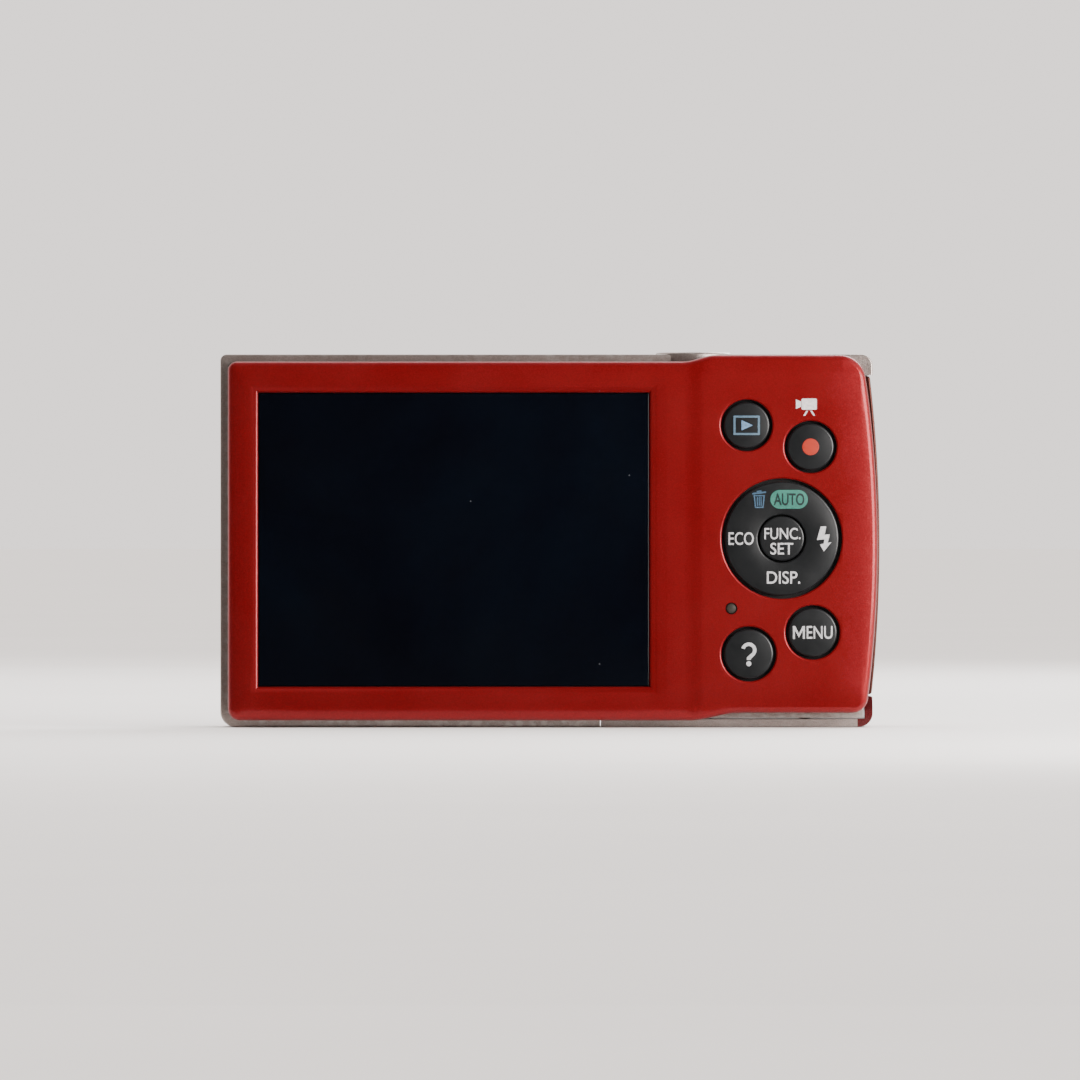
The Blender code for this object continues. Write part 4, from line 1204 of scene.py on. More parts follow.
class CAMERA_OT_case_screws(bpy.types.Operator):
    """Model the case screws with their cross recesses"""

    bl_idname = "camera_parts.case_screws"
    bl_label = "Case screws"

    def execute(self, context):
        steel = sheet_finish("blackened_steel", (0.16, 0.155, 0.15), (0.3, 0.45))
        for node in SCREWS:
            axis, side, head, centre = screw_place(node)
            profile = rounded([
                (0.0, head, 0), (1.3, head, 0.22), (1.3, head - side * 0.45, 0), (0.6, head - side * 0.45, 0),
                (0.6, head - side * 3.0, 0.1), (0.0, head - side * 3.0, 0)], 4, False)
            screw = turned(node.replace("screw", "fixing"), profile, centre, axis, 48)
            place = Vector(centre)
            place["XYZ".index(axis)] = head
            bars = [recess_bar(f"recess_{node}_{turn}", turn, axis, place) for turn in (45, -45)]
            combine(screw, bars)
            shade(screw, 32.0)
            fit(screw, "camera_body", "screw_steel", steel, node)
        return {"FINISHED"}


# ---------------------------------------------------------------- printed legends


BACK_FRAME = (Vector((-1, 0, 0)), Vector((0, 0, 1)), Vector((0, 1, 0)))
TOP_FRAME = (Vector((-1, 0, 0)), Vector((0, -1, 0)), Vector((0, 0, 1)))


def flat_shape(outline):
    """A flat sign one unit thick, its face at level one."""
    shape = bmesh.new()
    base = [shape.verts.new((a, b, 0.0)) for a, b in outline]
    face = shape.faces.new(base)
    grown = bmesh.ops.extrude_face_region(shape, geom=[face], use_keep_orig=True)["geom"]
    top = [g for g in grown if isinstance(g, bmesh.types.BMVert)]
    bmesh.ops.translate(shape, verts=top, vec=(0, 0, 1))
    return shape


def frame_shape(outer, inner):
    """A flat ring between two outlines of equal count."""
    shape = bmesh.new()
    rings = []
    for outline in (outer, inner):
        verts = [shape.verts.new((a, b, 0.0)) for a, b in outline]
        rings += [shape.edges.new((verts[i - 1], verts[i])) for i in range(len(verts))]
    bmesh.ops.bridge_loops(shape, edges=rings)
    grown = bmesh.ops.extrude_face_region(shape, geom=shape.faces[:], use_keep_orig=True)["geom"]
    top = [g for g in grown if isinstance(g, bmesh.types.BMVert)]
    bmesh.ops.translate(shape, verts=top, vec=(0, 0, 1))
    return shape


def pill_outline(width, height, radius=None, centre=(0.0, 0.0)):
    """A rounded rectangle about a centre; without a radius its short ends are round."""
    w, h = width / 2, height / 2
    a, b = centre
    return rounded_box((a - w, b - h), (a + w, b + h), min(w, h) * 0.999 if radius is None else radius)


def word_shape(text, width, height, stroke=0.008):
    """A word one unit thick, fitted to a width and a height; stroke thickens its letters."""
    curve = bpy.data.curves.new("word", "FONT")
    curve.body = text
    curve.extrude = 0.5
    curve.offset = stroke
    curve.resolution_u = 5
    holder = bpy.data.objects.new("word", curve)
    bpy.context.scene.collection.objects.link(holder)
    graph = bpy.context.evaluated_depsgraph_get()
    mesh = bpy.data.meshes.new_from_object(holder.evaluated_get(graph))
    bpy.data.objects.remove(holder, do_unlink=True)
    bpy.data.curves.remove(curve)
    shape = bmesh.new()
    shape.from_mesh(mesh)
    bpy.data.meshes.remove(mesh)
    bmesh.ops.remove_doubles(shape, verts=shape.verts, dist=0.0002)
    xs = [v.co.x for v in shape.verts]
    ys = [v.co.y for v in shape.verts]
    bmesh.ops.translate(shape, verts=shape.verts,
                        vec=(-(min(xs) + max(xs)) / 2, -(min(ys) + max(ys)) / 2, 0.5))
    bmesh.ops.scale(shape, verts=shape.verts,
                    vec=(width / (max(xs) - min(xs)), height / (max(ys) - min(ys)), 1.0))
    return shape


def question_shape():
    """A plain question mark 3.1 high: a hook, a stem and a dot."""
    centre = (0.0, 0.55)
    hook = arc(centre, 1.1, 165.0, -40.0, 24) + arc(centre, 0.6, -40.0, 165.0, 24)
    stem = [(0.46, 0.16), (0.84, -0.155), (0.27, -0.72), (0.27, -0.85), (-0.27, -0.85), (-0.27, -0.5)]
    dot = arc((0.0, -1.4), 0.36, 0.0, 360.0, 32)[:-1]
    return gather([flat_shape(outline) for outline in (hook, stem, dot)])


def bin_shape():
    """A bin 2.5 high with a tilted lid, its handle and three ribs."""
    bucket = frame_shape([(-0.82, 0.62), (0.82, 0.62), (0.62, -1.25), (-0.62, -1.25)],
                         [(-0.60, 0.44), (0.60, 0.44), (0.46, -1.05), (-0.46, -1.05)])
    lid = shifted(flat_shape(pill_outline(2.0, 0.24, 0.06)), 0.0, 0.92, 0.12)
    handle = shifted(flat_shape(pill_outline(0.7, 0.2, 0.06)), -0.02, 1.16, 0.12)
    ribs = [flat_shape(pill_outline(0.15, 1.3, 0.05, (across, -0.3))) for across in (-0.27, 0.0, 0.27)]
    return gather([bucket, lid, handle, *ribs])


def menu_shape():
    """The word MENU 5.7 wide and 1.85 high, its first letter drawn from straight strokes."""
    high, wide, line = 1.85, 1.72, 0.29
    letter = [(0, 0), (line, 0), (line, 0.66 * high), (wide / 2, 0.10 * high), (wide - line, 0.66 * high),
              (wide - line, 0), (wide, 0), (wide, high), (wide - 0.32, high), (wide / 2, 0.40 * high),
              (0.32, high), (0, high)]
    return gather([shifted(flat_shape(letter), -2.85, -high / 2),
                   shifted(word_shape("ENU", 3.72, high), 0.99, 0)])


def shifted(shape, across, upward, turn=0.0):
    if turn:
        bmesh.ops.rotate(shape, verts=shape.verts, matrix=Matrix.Rotation(turn, 3, "Z"))
    bmesh.ops.translate(shape, verts=shape.verts, vec=(across, upward, 0))
    return shape


def gather(shapes):
    """Join several shapes in one bmesh."""
    whole = bmesh.new()
    for shape in shapes:
        part = bpy.data.meshes.new("part")
        shape.to_mesh(part)
        shape.free()
        whole.from_mesh(part)
        bpy.data.meshes.remove(part)
    return whole


def legend(name, shape, centre, frame_axes, surface, material, body, slot, rise=0.02, depth=0.1):
    """Set a flat sign into a surface so that its face stands a hair above it."""
    pitch = 0.3
    for k, normal in enumerate(((1, 0, 0), (0, 1, 0))):
        reach = [vert.co[k] for vert in shape.verts]
        count = int((max(reach) - min(reach)) / pitch)
        for step in range(1, count):
            point = [0.0, 0.0, 0.0]
            point[k] = min(reach) + (max(reach) - min(reach)) * step / count
            parts = shape.verts[:] + shape.edges[:] + shape.faces[:]
            bmesh.ops.bisect_plane(shape, geom=parts, plane_co=point, plane_no=normal)
    right, up, out = frame_axes
    i = max(range(3), key=lambda k: abs(out[k]))
    for vert in shape.verts:
        a, b, level = vert.co
        place = Vector(centre) + right * a + up * b
        place[i] = surface(place) + out[i] * (rise if level > 0.5 else -depth)
        vert.co = place
    sign = to_object(name, shape, smooth=False)
    return fit(sign, body, slot, material)


def key_dome(centre, radius, top, crown, power=2.2):
    """Height of a domed cap at a place."""
    def surface(place):
        reach = math.hypot(place.x - centre.x, place.z - centre.z) / radius
        return top - crown * min(1.0, reach) ** power
    return surface


def back_surface(place):
    return BACK_HIGH.y - crown_fall(place.x, place.z) - screen_fall(place.x, place.z)


# ---------------------------------------------------------------- back controls


def domed_profile(radius, flange, base, top, crown, power=2.2, edge=0.3):
    """A cap on its flange: a straight wall, a rounded shoulder and a dome."""
    level = top - crown
    points = [(0.0, base), (radius + flange, base), (radius + flange, base + KEY_FLANGE),
              (radius, base + KEY_FLANGE)]
    points += shoulder(radius, level, edge)
    inner = radius - edge
    lift = crown * (inner / radius) ** power
    for i in range(1, 13):
        r = inner * (1 - i / 12)
        points.append((r, level + lift - crown * (r / radius) ** power + (crown - lift) * (1 - r / inner)))
    return points


# The middles of the printed signs, as (X, Z) on the back.
MOVIE_SIGN = (-36.95, 46.55)
AUTO_SIGN = (-34.4, 32.85)
BIN_SIGN = (-30.1, 32.85)
ECO_SIGN = (-27.5, 27.2)
BOLT_SIGN = (-39.4, 27.2)
DISPLAY_SIGN = (-33.6, 21.6)


class CAMERA_OT_keys(bpy.types.Operator):
    """Model the four round keys of the back and their legends"""

    bl_idname = "camera_parts.keys"
    bl_label = "Round keys"

    def execute(self, context):
        crown = set_length("key_crown")
        top = node_box("playback_button")[1].y
        surfaces = {}
        for node, hole_radius in KEYS.items():
            centre = node_middle(node)
            radius = hole_radius - KEY_GAP
            profile = domed_profile(radius, node_radius(node) - radius, node_box(node)[0].y, top, crown)
            cap = turned(node.replace("button", "key"), profile, centre, "Y")
            fit(cap, node, "key_black", key_finish(), node)
            surfaces[node] = (centre, key_dome(centre, radius, top, crown))

        def sign(node, name, shape, material):
            centre, surface = surfaces[node]
            legend(name, shape, centre, BACK_FRAME, surface, material, node, "key_black")

        steel_blue = ink_finish("steel_blue_ink", (0.055, 0.11, 0.16))
        light_blue = ink_finish("light_blue_ink", (0.085, 0.17, 0.28))
        sign("playback_button", "playback_frame",
             frame_shape(pill_outline(3.8, 2.8, 0.1), pill_outline(3.2, 2.2, 0.04)), steel_blue)
        arrow = rounded([(-0.75, -0.75, 0.05), (0.9, 0.0, 0.05), (-0.75, 0.75, 0.05)], 3)
        sign("playback_button", "playback_arrow", flat_shape(arrow), light_blue)
        sign("menu_button", "menu_word", menu_shape(), pale_ink())
        sign("help_button", "help_mark", question_shape(), pale_ink())

        centre, surface = surfaces["movie_button"]
        dot_top = surface(centre) + 0.02
        profile = [(0.0, dot_top - 0.3), (1.25, dot_top - 0.3), (1.25, dot_top - 0.1), (1.17, dot_top - 0.03),
                   (0.9, dot_top - 0.008), (0.0, dot_top)]
        dot = turned("movie_dot", profile, centre, "Y", 64)
        red = moulded_finish("movie_red", (0.25, 0.014, 0.004), (0.3, 0.45), depth=0.8, dust=0.04)
        fit(dot, "movie_button", "key_black", red)

        icon = gather([
            flat_shape(pill_outline(2.2, 1.6, 0.2, (0.35, 0.0))),
            flat_shape([(-1.56, -0.68), (-0.8, -0.36), (-0.8, 0.36), (-1.56, 0.68)]),
            flat_shape([(-0.5, -1.65), (-0.22, -1.65), (0.2, -0.95), (-0.06, -0.95)]),
            flat_shape([(1.2, -1.65), (0.92, -1.65), (0.5, -0.95), (0.76, -0.95)]),
        ])
        legend("movie_sign", icon, (MOVIE_SIGN[0], 0, MOVIE_SIGN[1]), BACK_FRAME, back_surface,
               ink_finish("white_ink", (0.52, 0.48, 0.48)), "camera_body", "red_metal")
        return {"FINISHED"}


def nav_surface(place):
    """Face of the rocking ring: highest on a circle, falling to both rims."""
    reach = math.hypot(place.x - NAV.x, place.z - NAV.z)
    return nav_height(reach)


def nav_height(reach):
    """Level of the rocking ring's face at a distance from its middle."""
    top = node_box("nav_ring")[1].y
    if reach > NAV_CREST_R:
        return top - NAV_OUTER_FALL * ((reach - NAV_CREST_R) / NAV_OUTER_REACH) ** 2
    return top - NAV_INNER_FALL * ((NAV_CREST_R - reach) / NAV_INNER_REACH) ** 2


class CAMERA_OT_nav_ring(bpy.types.Operator):
    """Model the rocking ring, the set button inside it and their legends"""

    bl_idname = "camera_parts.nav_ring"
    bl_label = "Rocking ring"

    def execute(self, context):
        low_y = node_box("nav_ring")[0].y
        outer, inner, edge, lip = node_radius("nav_ring"), NAV_BORE_R, 0.3, 0.22
        points = [(inner, low_y), (outer, low_y), (outer, nav_height(outer) - edge)]
        points += shoulder(outer, nav_height(outer - edge), edge)[1:-1]
        steps = 20
        for i in range(steps + 1):
            r = outer - edge - (outer - edge - inner - lip) * i / steps
            points.append((r, nav_height(r)))
        lip_z = nav_height(inner + lip) - lip
        points += arc((inner + lip, lip_z), lip, 90.0, 180.0, 5)[1:]
        ring = turned("rocking_ring", points, NAV, "Y", 128)
        fit(ring, "nav_ring", "key_black", key_finish(), "nav_ring")

        low, high = node_box("set_button")
        radius = node_radius("set_button") + SET_EXTRA_R
        crown_radius = radius - SET_EDGE
        profile = [(0.0, low.y), (radius, low.y), *shoulder(radius, high.y - SET_FALL, SET_EDGE)]
        profile += dome(crown_radius, high.y, SET_FALL, 2.2, 8)
        cap = turned("set_key", profile, NAV, "Y")
        fit(cap, "set_button", "key_black", key_finish(), "set_button")
        set_surface = key_dome(NAV, crown_radius, high.y, SET_FALL)
        pale = pale_ink()

        legend("set_words", gather([shifted(word_shape("FUNC.", 5.2, 1.65), 0.1, 0.72),
                                    shifted(word_shape("SET", 3.3, 1.7), 0, -1.45)]),
               NAV, BACK_FRAME, set_surface, pale, "set_button", "key_black")

        def on_ring(name, shape, place, material, rise=0.02):
            centre = (place[0], 0, place[1])
            legend(name, shape, centre, BACK_FRAME, nav_surface, material, "nav_ring", "key_black", rise)

        teal = ink_finish("teal_ink", (0.012, 0.13, 0.095))
        dark = ink_finish("dark_ink", (0.002, 0.012, 0.012))
        blue = ink_finish("bin_blue_ink", (0.028, 0.075, 0.13))
        on_ring("auto_plate", flat_shape(pill_outline(5.4, 2.7)), AUTO_SIGN, teal)
        on_ring("auto_word", word_shape("AUTO", 4.4, 1.75, 0.016), AUTO_SIGN, dark, 0.045)
        on_ring("eco_word", word_shape("ECO", 3.63, 1.85), ECO_SIGN, pale)
        on_ring("display_word", word_shape("DISP.", 4.8, 1.8), DISPLAY_SIGN, pale)
        on_ring("delete_bin", bin_shape(), BIN_SIGN, blue)
        bolt = [(-0.45, 1.75), (0.35, 1.75), (0.1, 0.55), (0.85, 0.62), (0.55, -0.62), (1.1, -0.5),
                (0.0, -1.85), (-0.55, -0.85), (-0.02, -0.72), (0.1, -0.1), (-1.0, -0.2)]
        on_ring("flash_bolt", flat_shape(bolt), BOLT_SIGN, pale)
        return {"FINISHED"}


class CAMERA_OT_screen(bpy.types.Operator):
    """Model the screen's window and the indicator lamp"""

    bl_idname = "camera_parts.screen"
    bl_label = "Screen"

    def execute(self, context):
        window = soft_box("window_plate", WINDOW_LOW, WINDOW_HIGH, 0.1, 2)
        fit(window, "camera_body", "screen_glass", window_finish(), "screen_window")
        low, high = node_box("indicator_lamp")
        radius, foot, bulge = 0.75, 0.8, 0.28
        profile = [(0.0, low.y), (radius + 0.6, low.y), (radius + 0.6, low.y + foot), (radius, low.y + foot)]
        for i in range(9):
            angle = math.pi / 2 * i / 8
            profile.append((radius * math.cos(angle), high.y - bulge + bulge * math.sin(angle)))
        lamp = turned("lamp_dome", profile, node_middle("indicator_lamp"), "Y", 48)
        grey = moulded_finish("lamp_grey", (0.022, 0.018, 0.014), (0.5, 0.65), grain=3500.0, depth=0.8,
                              dust=0.12, specular=0.2)
        fit(lamp, "camera_body", "lamp_plastic", grey, "indicator_lamp")
        return {"FINISHED"}


# ---------------------------------------------------------------- top controls


def coil_shape(low_z, high_z, reach, wire, turns, per_turn=32, sides=10):
    """A coiled wire that stands about the release axis."""
    shape = bmesh.new()
    steps = int(turns * per_turn)
    rings = []
    for i in range(steps + 1):
        turn = 2 * math.pi * i / per_turn
        out = Vector((math.cos(turn), math.sin(turn), 0.0))
        rise = low_z + wire + (high_z - low_z - 2 * wire) * i / steps
        middle = Vector((RELEASE.x, RELEASE.y, rise)) + out * reach
        ring = []
        for k in range(sides):
            angle = 2 * math.pi * k / sides
            side = out * math.cos(angle) + Vector((0, 0, math.sin(angle)))
            ring.append(shape.verts.new(middle + wire * side))
        rings.append(ring)
    for one, two in zip(rings, rings[1:]):
        for k in range(sides):
            shape.faces.new((one[k - 1], one[k], two[k], two[k - 1]))
    shape.faces.new(rings[0])
    shape.faces.new(rings[-1])
    return shape


class CAMERA_OT_top_controls(bpy.types.Operator):
    """Model the release, the zoom lever, the power key and their legends"""

    bl_idname = "camera_parts.top_controls"
    bl_label = "Top controls"

    def execute(self, context):
        low, high = node_box("shutter_button")
        radius = node_radius("shutter_button")
        edge, level_z = 0.25, 54.0
        shaft = [(0.0, low.z), (0.8, low.z), (0.8, 53.2), (radius, 53.2), *shoulder(radius, level_z, edge, 5)]
        shaft += dome(radius - edge, high.z, high.z - level_z, 2, 12)
        release = turned("release_key", shaft, RELEASE, "Z")
        chrome = silver_finish("release_satin", (0.42, 0.405, 0.39), (0.2, 0.28), worn=False)
        fit(release, "shutter_button", "silver_trim", chrome, "shutter_button")

        low, high = node_box("shutter_spring")
        spring = to_object("release_spring", coil_shape(low.z, high.z, 1.75, 0.2, 3.5), angle=60.0)
        wire = sheet_finish("spring_wire", (0.42, 0.41, 0.40))
        fit(spring, "camera_body", "spring_steel", wire, "shutter_spring")
        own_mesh(spring)

        lever_low, lever_high = node_box("zoom_lever")
        outer, inner = node_radius("zoom_lever"), 4.25
        top = lever_high.z - 0.2
        ring = rounded([(inner, lever_low.z, 0), (outer, lever_low.z, 0.1),
                        (outer, top, 0.35), (inner, top, 0.12)], 5)
        lever = turned("lever_ring", ring, RELEASE, "Z")
        front = RELEASE.y - outer
        ridge = soft_box("lever_ridge", (RELEASE.x - 1.3, front + 0.25, 53.3),
                         (RELEASE.x + 1.3, front + 1.05, lever_high.z), 0.15)
        combine(lever, [ridge], "UNION")
        notches = []
        for i in range(-3, 4):
            x = RELEASE.x + 0.36 * i
            notches.append(block(f"ridge_notch_{i}", (x - 0.07, front + 0.1, lever_high.z - 0.1),
                                 (x + 0.07, front + 1.2, lever_high.z + 0.1)))
        combine(lever, notches)
        shade(lever, 32.0)
        fit(lever, "zoom_lever", "silver_trim", silver_finish(), "zoom_lever")

        low, high = node_box("power_button")
        profile = rounded([(0.0, low.z, 0), (2.7, low.z, 0), (2.7, low.z + 0.6, 0), (2.0, low.z + 0.6, 0),
                           (2.0, high.z - 0.1, 0.25), (1.5, high.z, 0), (0.0, high.z, 0)], 5, False)
        key = turned("power_key", profile, POWER, "Z", 64)
        fit(key, "power_button", "silver_trim", chrome, "power_button")
        dark = ink_finish("engraved_ink", (0.03, 0.03, 0.032))
        legend("power_words", word_shape("ON/OFF", 4.6, 1.0), (POWER.x, RELEASE.y + 3.6, 0), TOP_FRAME,
               lambda place: BAND_HIGH.z, dark, "camera_body", "silver_trim")
        for name, side in (("T", -1), ("W", 1)):
            centre = (RELEASE.x + side * 2.9, front + 1.05, 0)
            legend(f"zoom_mark_{name}", word_shape(name, 0.7, 0.75), centre, TOP_FRAME, lambda place: top,
                   dark, "zoom_lever", "silver_trim")
        return {"FINISHED"}


# ---------------------------------------------------------------- lens


BLADE_R = 5.35


class CAMERA_OT_lens(bpy.types.Operator):
    """Model the trim ring, the barrels, the glasses and the barrier blades"""

    bl_idname = "camera_parts.lens"
    bl_label = "Lens"

    def execute(self, context):
        silver = turned_finish("turned_silver", (0.38, 0.365, 0.35), (0.2, 0.3))
        ring_low, ring_high = node_box("lens_trim_ring")
        front, back, radius = ring_low.y, ring_high.y, node_radius("lens_trim_ring")
        ring = rounded([
            (14.6, back, 0.08), (radius, back, 0.12), (radius - 0.2, back - 0.95, 0.35),
            (radius - 1.4, front, 0.5), (17.1, front, 0.12), (16.9, front + 0.22, 0.1),
            (15.9, front + 0.22, 0.1), (15.5, front + 0.1, 0.15), (14.6, front + 0.75, 0.2)], 5)
        fit(turned("trim_ring", ring, LENS, "Y", 128), "camera_body", "silver_trim", silver, "lens_trim_ring")

        low, high = node_box("outer_barrel")
        wall = rounded([
            (12.3, high.y, 0), (13.7, high.y, 0.1), (13.7, -8.9, 0), (13.58, -8.85, 0), (13.58, -9.15, 0),
            (13.7, -9.2, 0), (13.7, low.y, 0.3), (12.9, low.y, 0.1), (12.7, low.y + 0.2, 0.08),
            (12.3, low.y + 0.2, 0.08)], 4)
        fit(turned("outer_tube", wall, LENS, "Y", 128), "outer_barrel", "silver_trim", silver, "outer_barrel")
        low, high = node_box("inner_barrel")
        tube = rounded([
            (10.6, high.y, 0), (11.9, high.y, 0.1), (11.9, low.y, 0.35), (10.7, low.y, 0.12),
            (10.4, low.y + 0.25, 0.1), (6.4, low.y + 0.28, 0.1), (5.7, low.y + 0.42, 0.1),
            (5.0, low.y + 0.47, 0.05), (5.0, low.y + 0.6, 0), (10.6, low.y + 0.6, 0)], 4)
        fit(turned("inner_tube", tube, LENS, "Y", 128), "inner_barrel", "silver_trim",
            turned_finish("turned_dark", (0.045, 0.045, 0.048), (0.28, 0.38)), "inner_barrel")

        coated = clear_finish("coated_glass", (0.55, 0.62, 0.80), roughness=0.01, ior=1.62, tint=0.12)
        low, high = node_box("front_lens")
        glass_r, sag = 7.0, 1.0
        bulge = [(0.0, high.y), (glass_r, high.y), (glass_r, low.y + sag)]
        bulge += dome(glass_r, low.y, -sag, 2, 16)
        fit(turned("front_glass", bulge, LENS, "Y"), "inner_barrel", "lens_glass", coated, "front_lens")
        low, high = node_box("lens_cell")
        cell = [(7.3, high.y), (10.2, high.y), (10.2, low.y)]
        groove_count, groove_depth = 8, 0.12
        for i in range(groove_count + 1):
            cell.append((9.9 - 2.6 * i / groove_count, low.y + groove_depth * (i % 2)))
        fit(turned("glass_cell", cell, LENS, "Y"), "inner_barrel", "inner_plastic", nylon(), "lens_cell")

        steel = sheet_finish("blade_black", (0.03, 0.03, 0.031), (0.3, 0.42), (1.0, 1.0, 1.0))
        for node, side in (("barrier_blade_upper", 1), ("barrier_blade_lower", -1)):
            low, high = node_box(node)
            outline = [(-BLADE_R, 0.06), *arc((0.0, 0.0), BLADE_R, 175.5, 31.5, 32)]
            outline += [*arc((9.2, 0.0), 0.9, 90.0, -60.0, 20), (8.5, 0.06)]
            places = [(LENS.x + side * a, LENS.z + side * b) for a, b in outline]
            blade = plate(node.replace("barrier_blade", "blade"), places, low.y, high.y, "Y", 0.06, 0.0)
            fit(blade, node, "barrier_black", steel, node)
        return {"FINISHED"}


class CAMERA_OT_front_pieces(bpy.types.Operator):
    """Model the flash and the focusing lamp"""

    bl_idname = "camera_parts.front_pieces"
    bl_label = "Flash and lamp"

    def execute(self, context):
        low, high = node_box("flash_window")
        outline = rounded_box((low.x, low.z), (high.x, high.z), 0.8)
        pane = plate("flash_pane", outline, low.y, high.y, "Y", 0.12, 0.0)
        grooves = []
        count = 14
        for i in range(count):
            x = low.x + 0.8 + (high.x - low.x - 1.6) * i / (count - 1)
            wedge = flat_shape([(x - 0.22, high.y + 0.05), (x + 0.22, high.y + 0.05), (x, high.y - 0.25)])
            bmesh.ops.scale(wedge, verts=wedge.verts, vec=(1, 1, high.z - low.z - 0.8))
            bmesh.ops.translate(wedge, verts=wedge.verts, vec=(0, 0, low.z + 0.4))
            grooves.append(to_object(f"prism_{i}", wedge, False))
        combine(pane, grooves)
        shade(pane, 20.0)
        acrylic = clear_finish("flash_acrylic", (0.93, 0.95, 0.96), roughness=0.04, ior=1.49)
        fit(pane, "camera_body", "flash_clear", acrylic, "flash_window")
        low, high = node_box("af_lamp")
        radius, level, bulge = node_radius("af_lamp"), low.y + 0.3, 0.28
        profile = [(0.0, high.y), (radius, high.y), (radius, level)]
        for i in range(1, 9):
            angle = math.pi / 2 * i / 8
            profile.append((radius * math.cos(angle), level - bulge * math.sin(angle)))
        lamp = turned("focus_lamp", profile, node_middle("af_lamp"), "Y", 64)
        amber = clear_finish("lamp_amber", (0.95, 0.55, 0.22), roughness=0.06, ior=1.49, tint=0.2)
        fit(lamp, "camera_body", "flash_clear", amber, "af_lamp")
        return {"FINISHED"}


# ---------------------------------------------------------------- base


EAR_X = (-13.0, -37.0)
THUMB_X = -24.0
CORNER_SEAM_X = -44.4


class CAMERA_OT_base(bpy.types.Operator):
    """Model the battery door and the threaded tripod socket"""

    bl_idname = "camera_parts.base"
    bl_label = "Base"

    def execute(self, context):
        thick, left, right = 1.2, DOOR_LOW.x, DOOR_HIGH.x
        wall_x, top = left + thick, DOOR_HIGH.z
        outline = rounded([(right, 0.0, 0.15), (left, 0.0, 2.0), (left, top, 0.2), (wall_x, top, 0.1),
                           (wall_x, thick, 0), (right, thick, 0)])
        door = plate("door_plate", outline, DOOR_LOW.y, DOOR_HIGH.y, "Y", 0.2, 0.2)
        hinge = node_middle("door_hinge_pin")
        edge = hinge.y - DOOR_LOW.y
        round_edge = [(DOOR_LOW.y - 1, hinge.z), (DOOR_LOW.y - 1, -1.0), (hinge.y, -1.0)]
        round_edge += arc((hinge.y, hinge.z), edge, 270.0, 180.0, 10)
        bevelled = [(DOOR_HIGH.y + 1, top + 1), (DOOR_HIGH.y - 2.8, top + 1), (DOOR_HIGH.y + 1, top - 2.8)]
        cutters = [plate("hinge_round", round_edge, BEYOND_X, 0, "X"),
                   plate("wall_corner", bevelled, BEYOND_X, -40, "X"),
                   rod("hinge_bore", 0.35, -39.4, -10.6, hinge, "X", 24)]
        for i, x in enumerate(EAR_X):
            notch = block(f"ear_notch_{i}", (x - 1.0, DOOR_LOW.y - 1, -1), (x + 1.0, hinge.y + 0.9, 2))
            cutters.append(notch)
        for i in range(5):
            x = THUMB_X + 1.1 * i
            groove = soft_box(f"thumb_groove_{i}", (x - 0.22, 1.4, -0.5), (x + 0.22, 4.6, 0.22), 0.1, 2)
            cutters.append(groove)
        combine(door, cutters)
        split = bmesh.new()
        split.from_mesh(door.data)
        seam_x = CORNER_SEAM_X * MM
        parts = split.verts[:] + split.edges[:] + split.faces[:]
        bmesh.ops.bisect_plane(split, geom=parts, plane_co=(seam_x, 0, 0), plane_no=(1, 0, 0))
        split.to_mesh(door.data)
        split.free()
        shade(door, 32.0, weigh=True)
        fit(door, "battery_door", "silver_trim", silver_finish(), "battery_door")
        lacquer = paint_finish("corner_lacquer", (0.05, 0.001, 0.002), (0.16, 0.02, 0.02))
        door.data.materials.append(lacquer)
        for side in door.data.polygons:
            side.material_index = 1 if side.center.x < seam_x else 0

        back_y = node_box("card_socket")[1].y
        sill = soft_box("door_sill", (SIDE_WALL_X[0], back_y - 0.45, thick + 0.14),
                        (right, back_y + 0.1, 4.5), 0.08, 2)
        fit(sill, "camera_body", "silver_trim", silver_finish())

        high = node_box("tripod_socket")[1]
        bore, depth, pitch = 3.175, 5.0, 1.27
        profile = [(0.0, high.z), (4.9, high.z), (4.9, 1.5), (4.0, 1.5), (4.0, 0.12), (3.88, 0.0),
                   (3.45, 0.0)]
        for i in range(7):
            z = 0.25 + pitch / 2 * i
            profile += [(bore, z + 0.1), (bore, z + 0.22), (bore + 0.22, z + 0.42)]
        profile += [(bore, depth), (0.0, depth)]
        thread = turned("tripod_thread", profile, node_middle("tripod_socket"), "Z")
        brass = sheet_finish("plated_brass", (0.52, 0.46, 0.36))
        fit(thread, "camera_body", "thread_brass", brass, "tripod_socket")
        return {"FINISHED"}


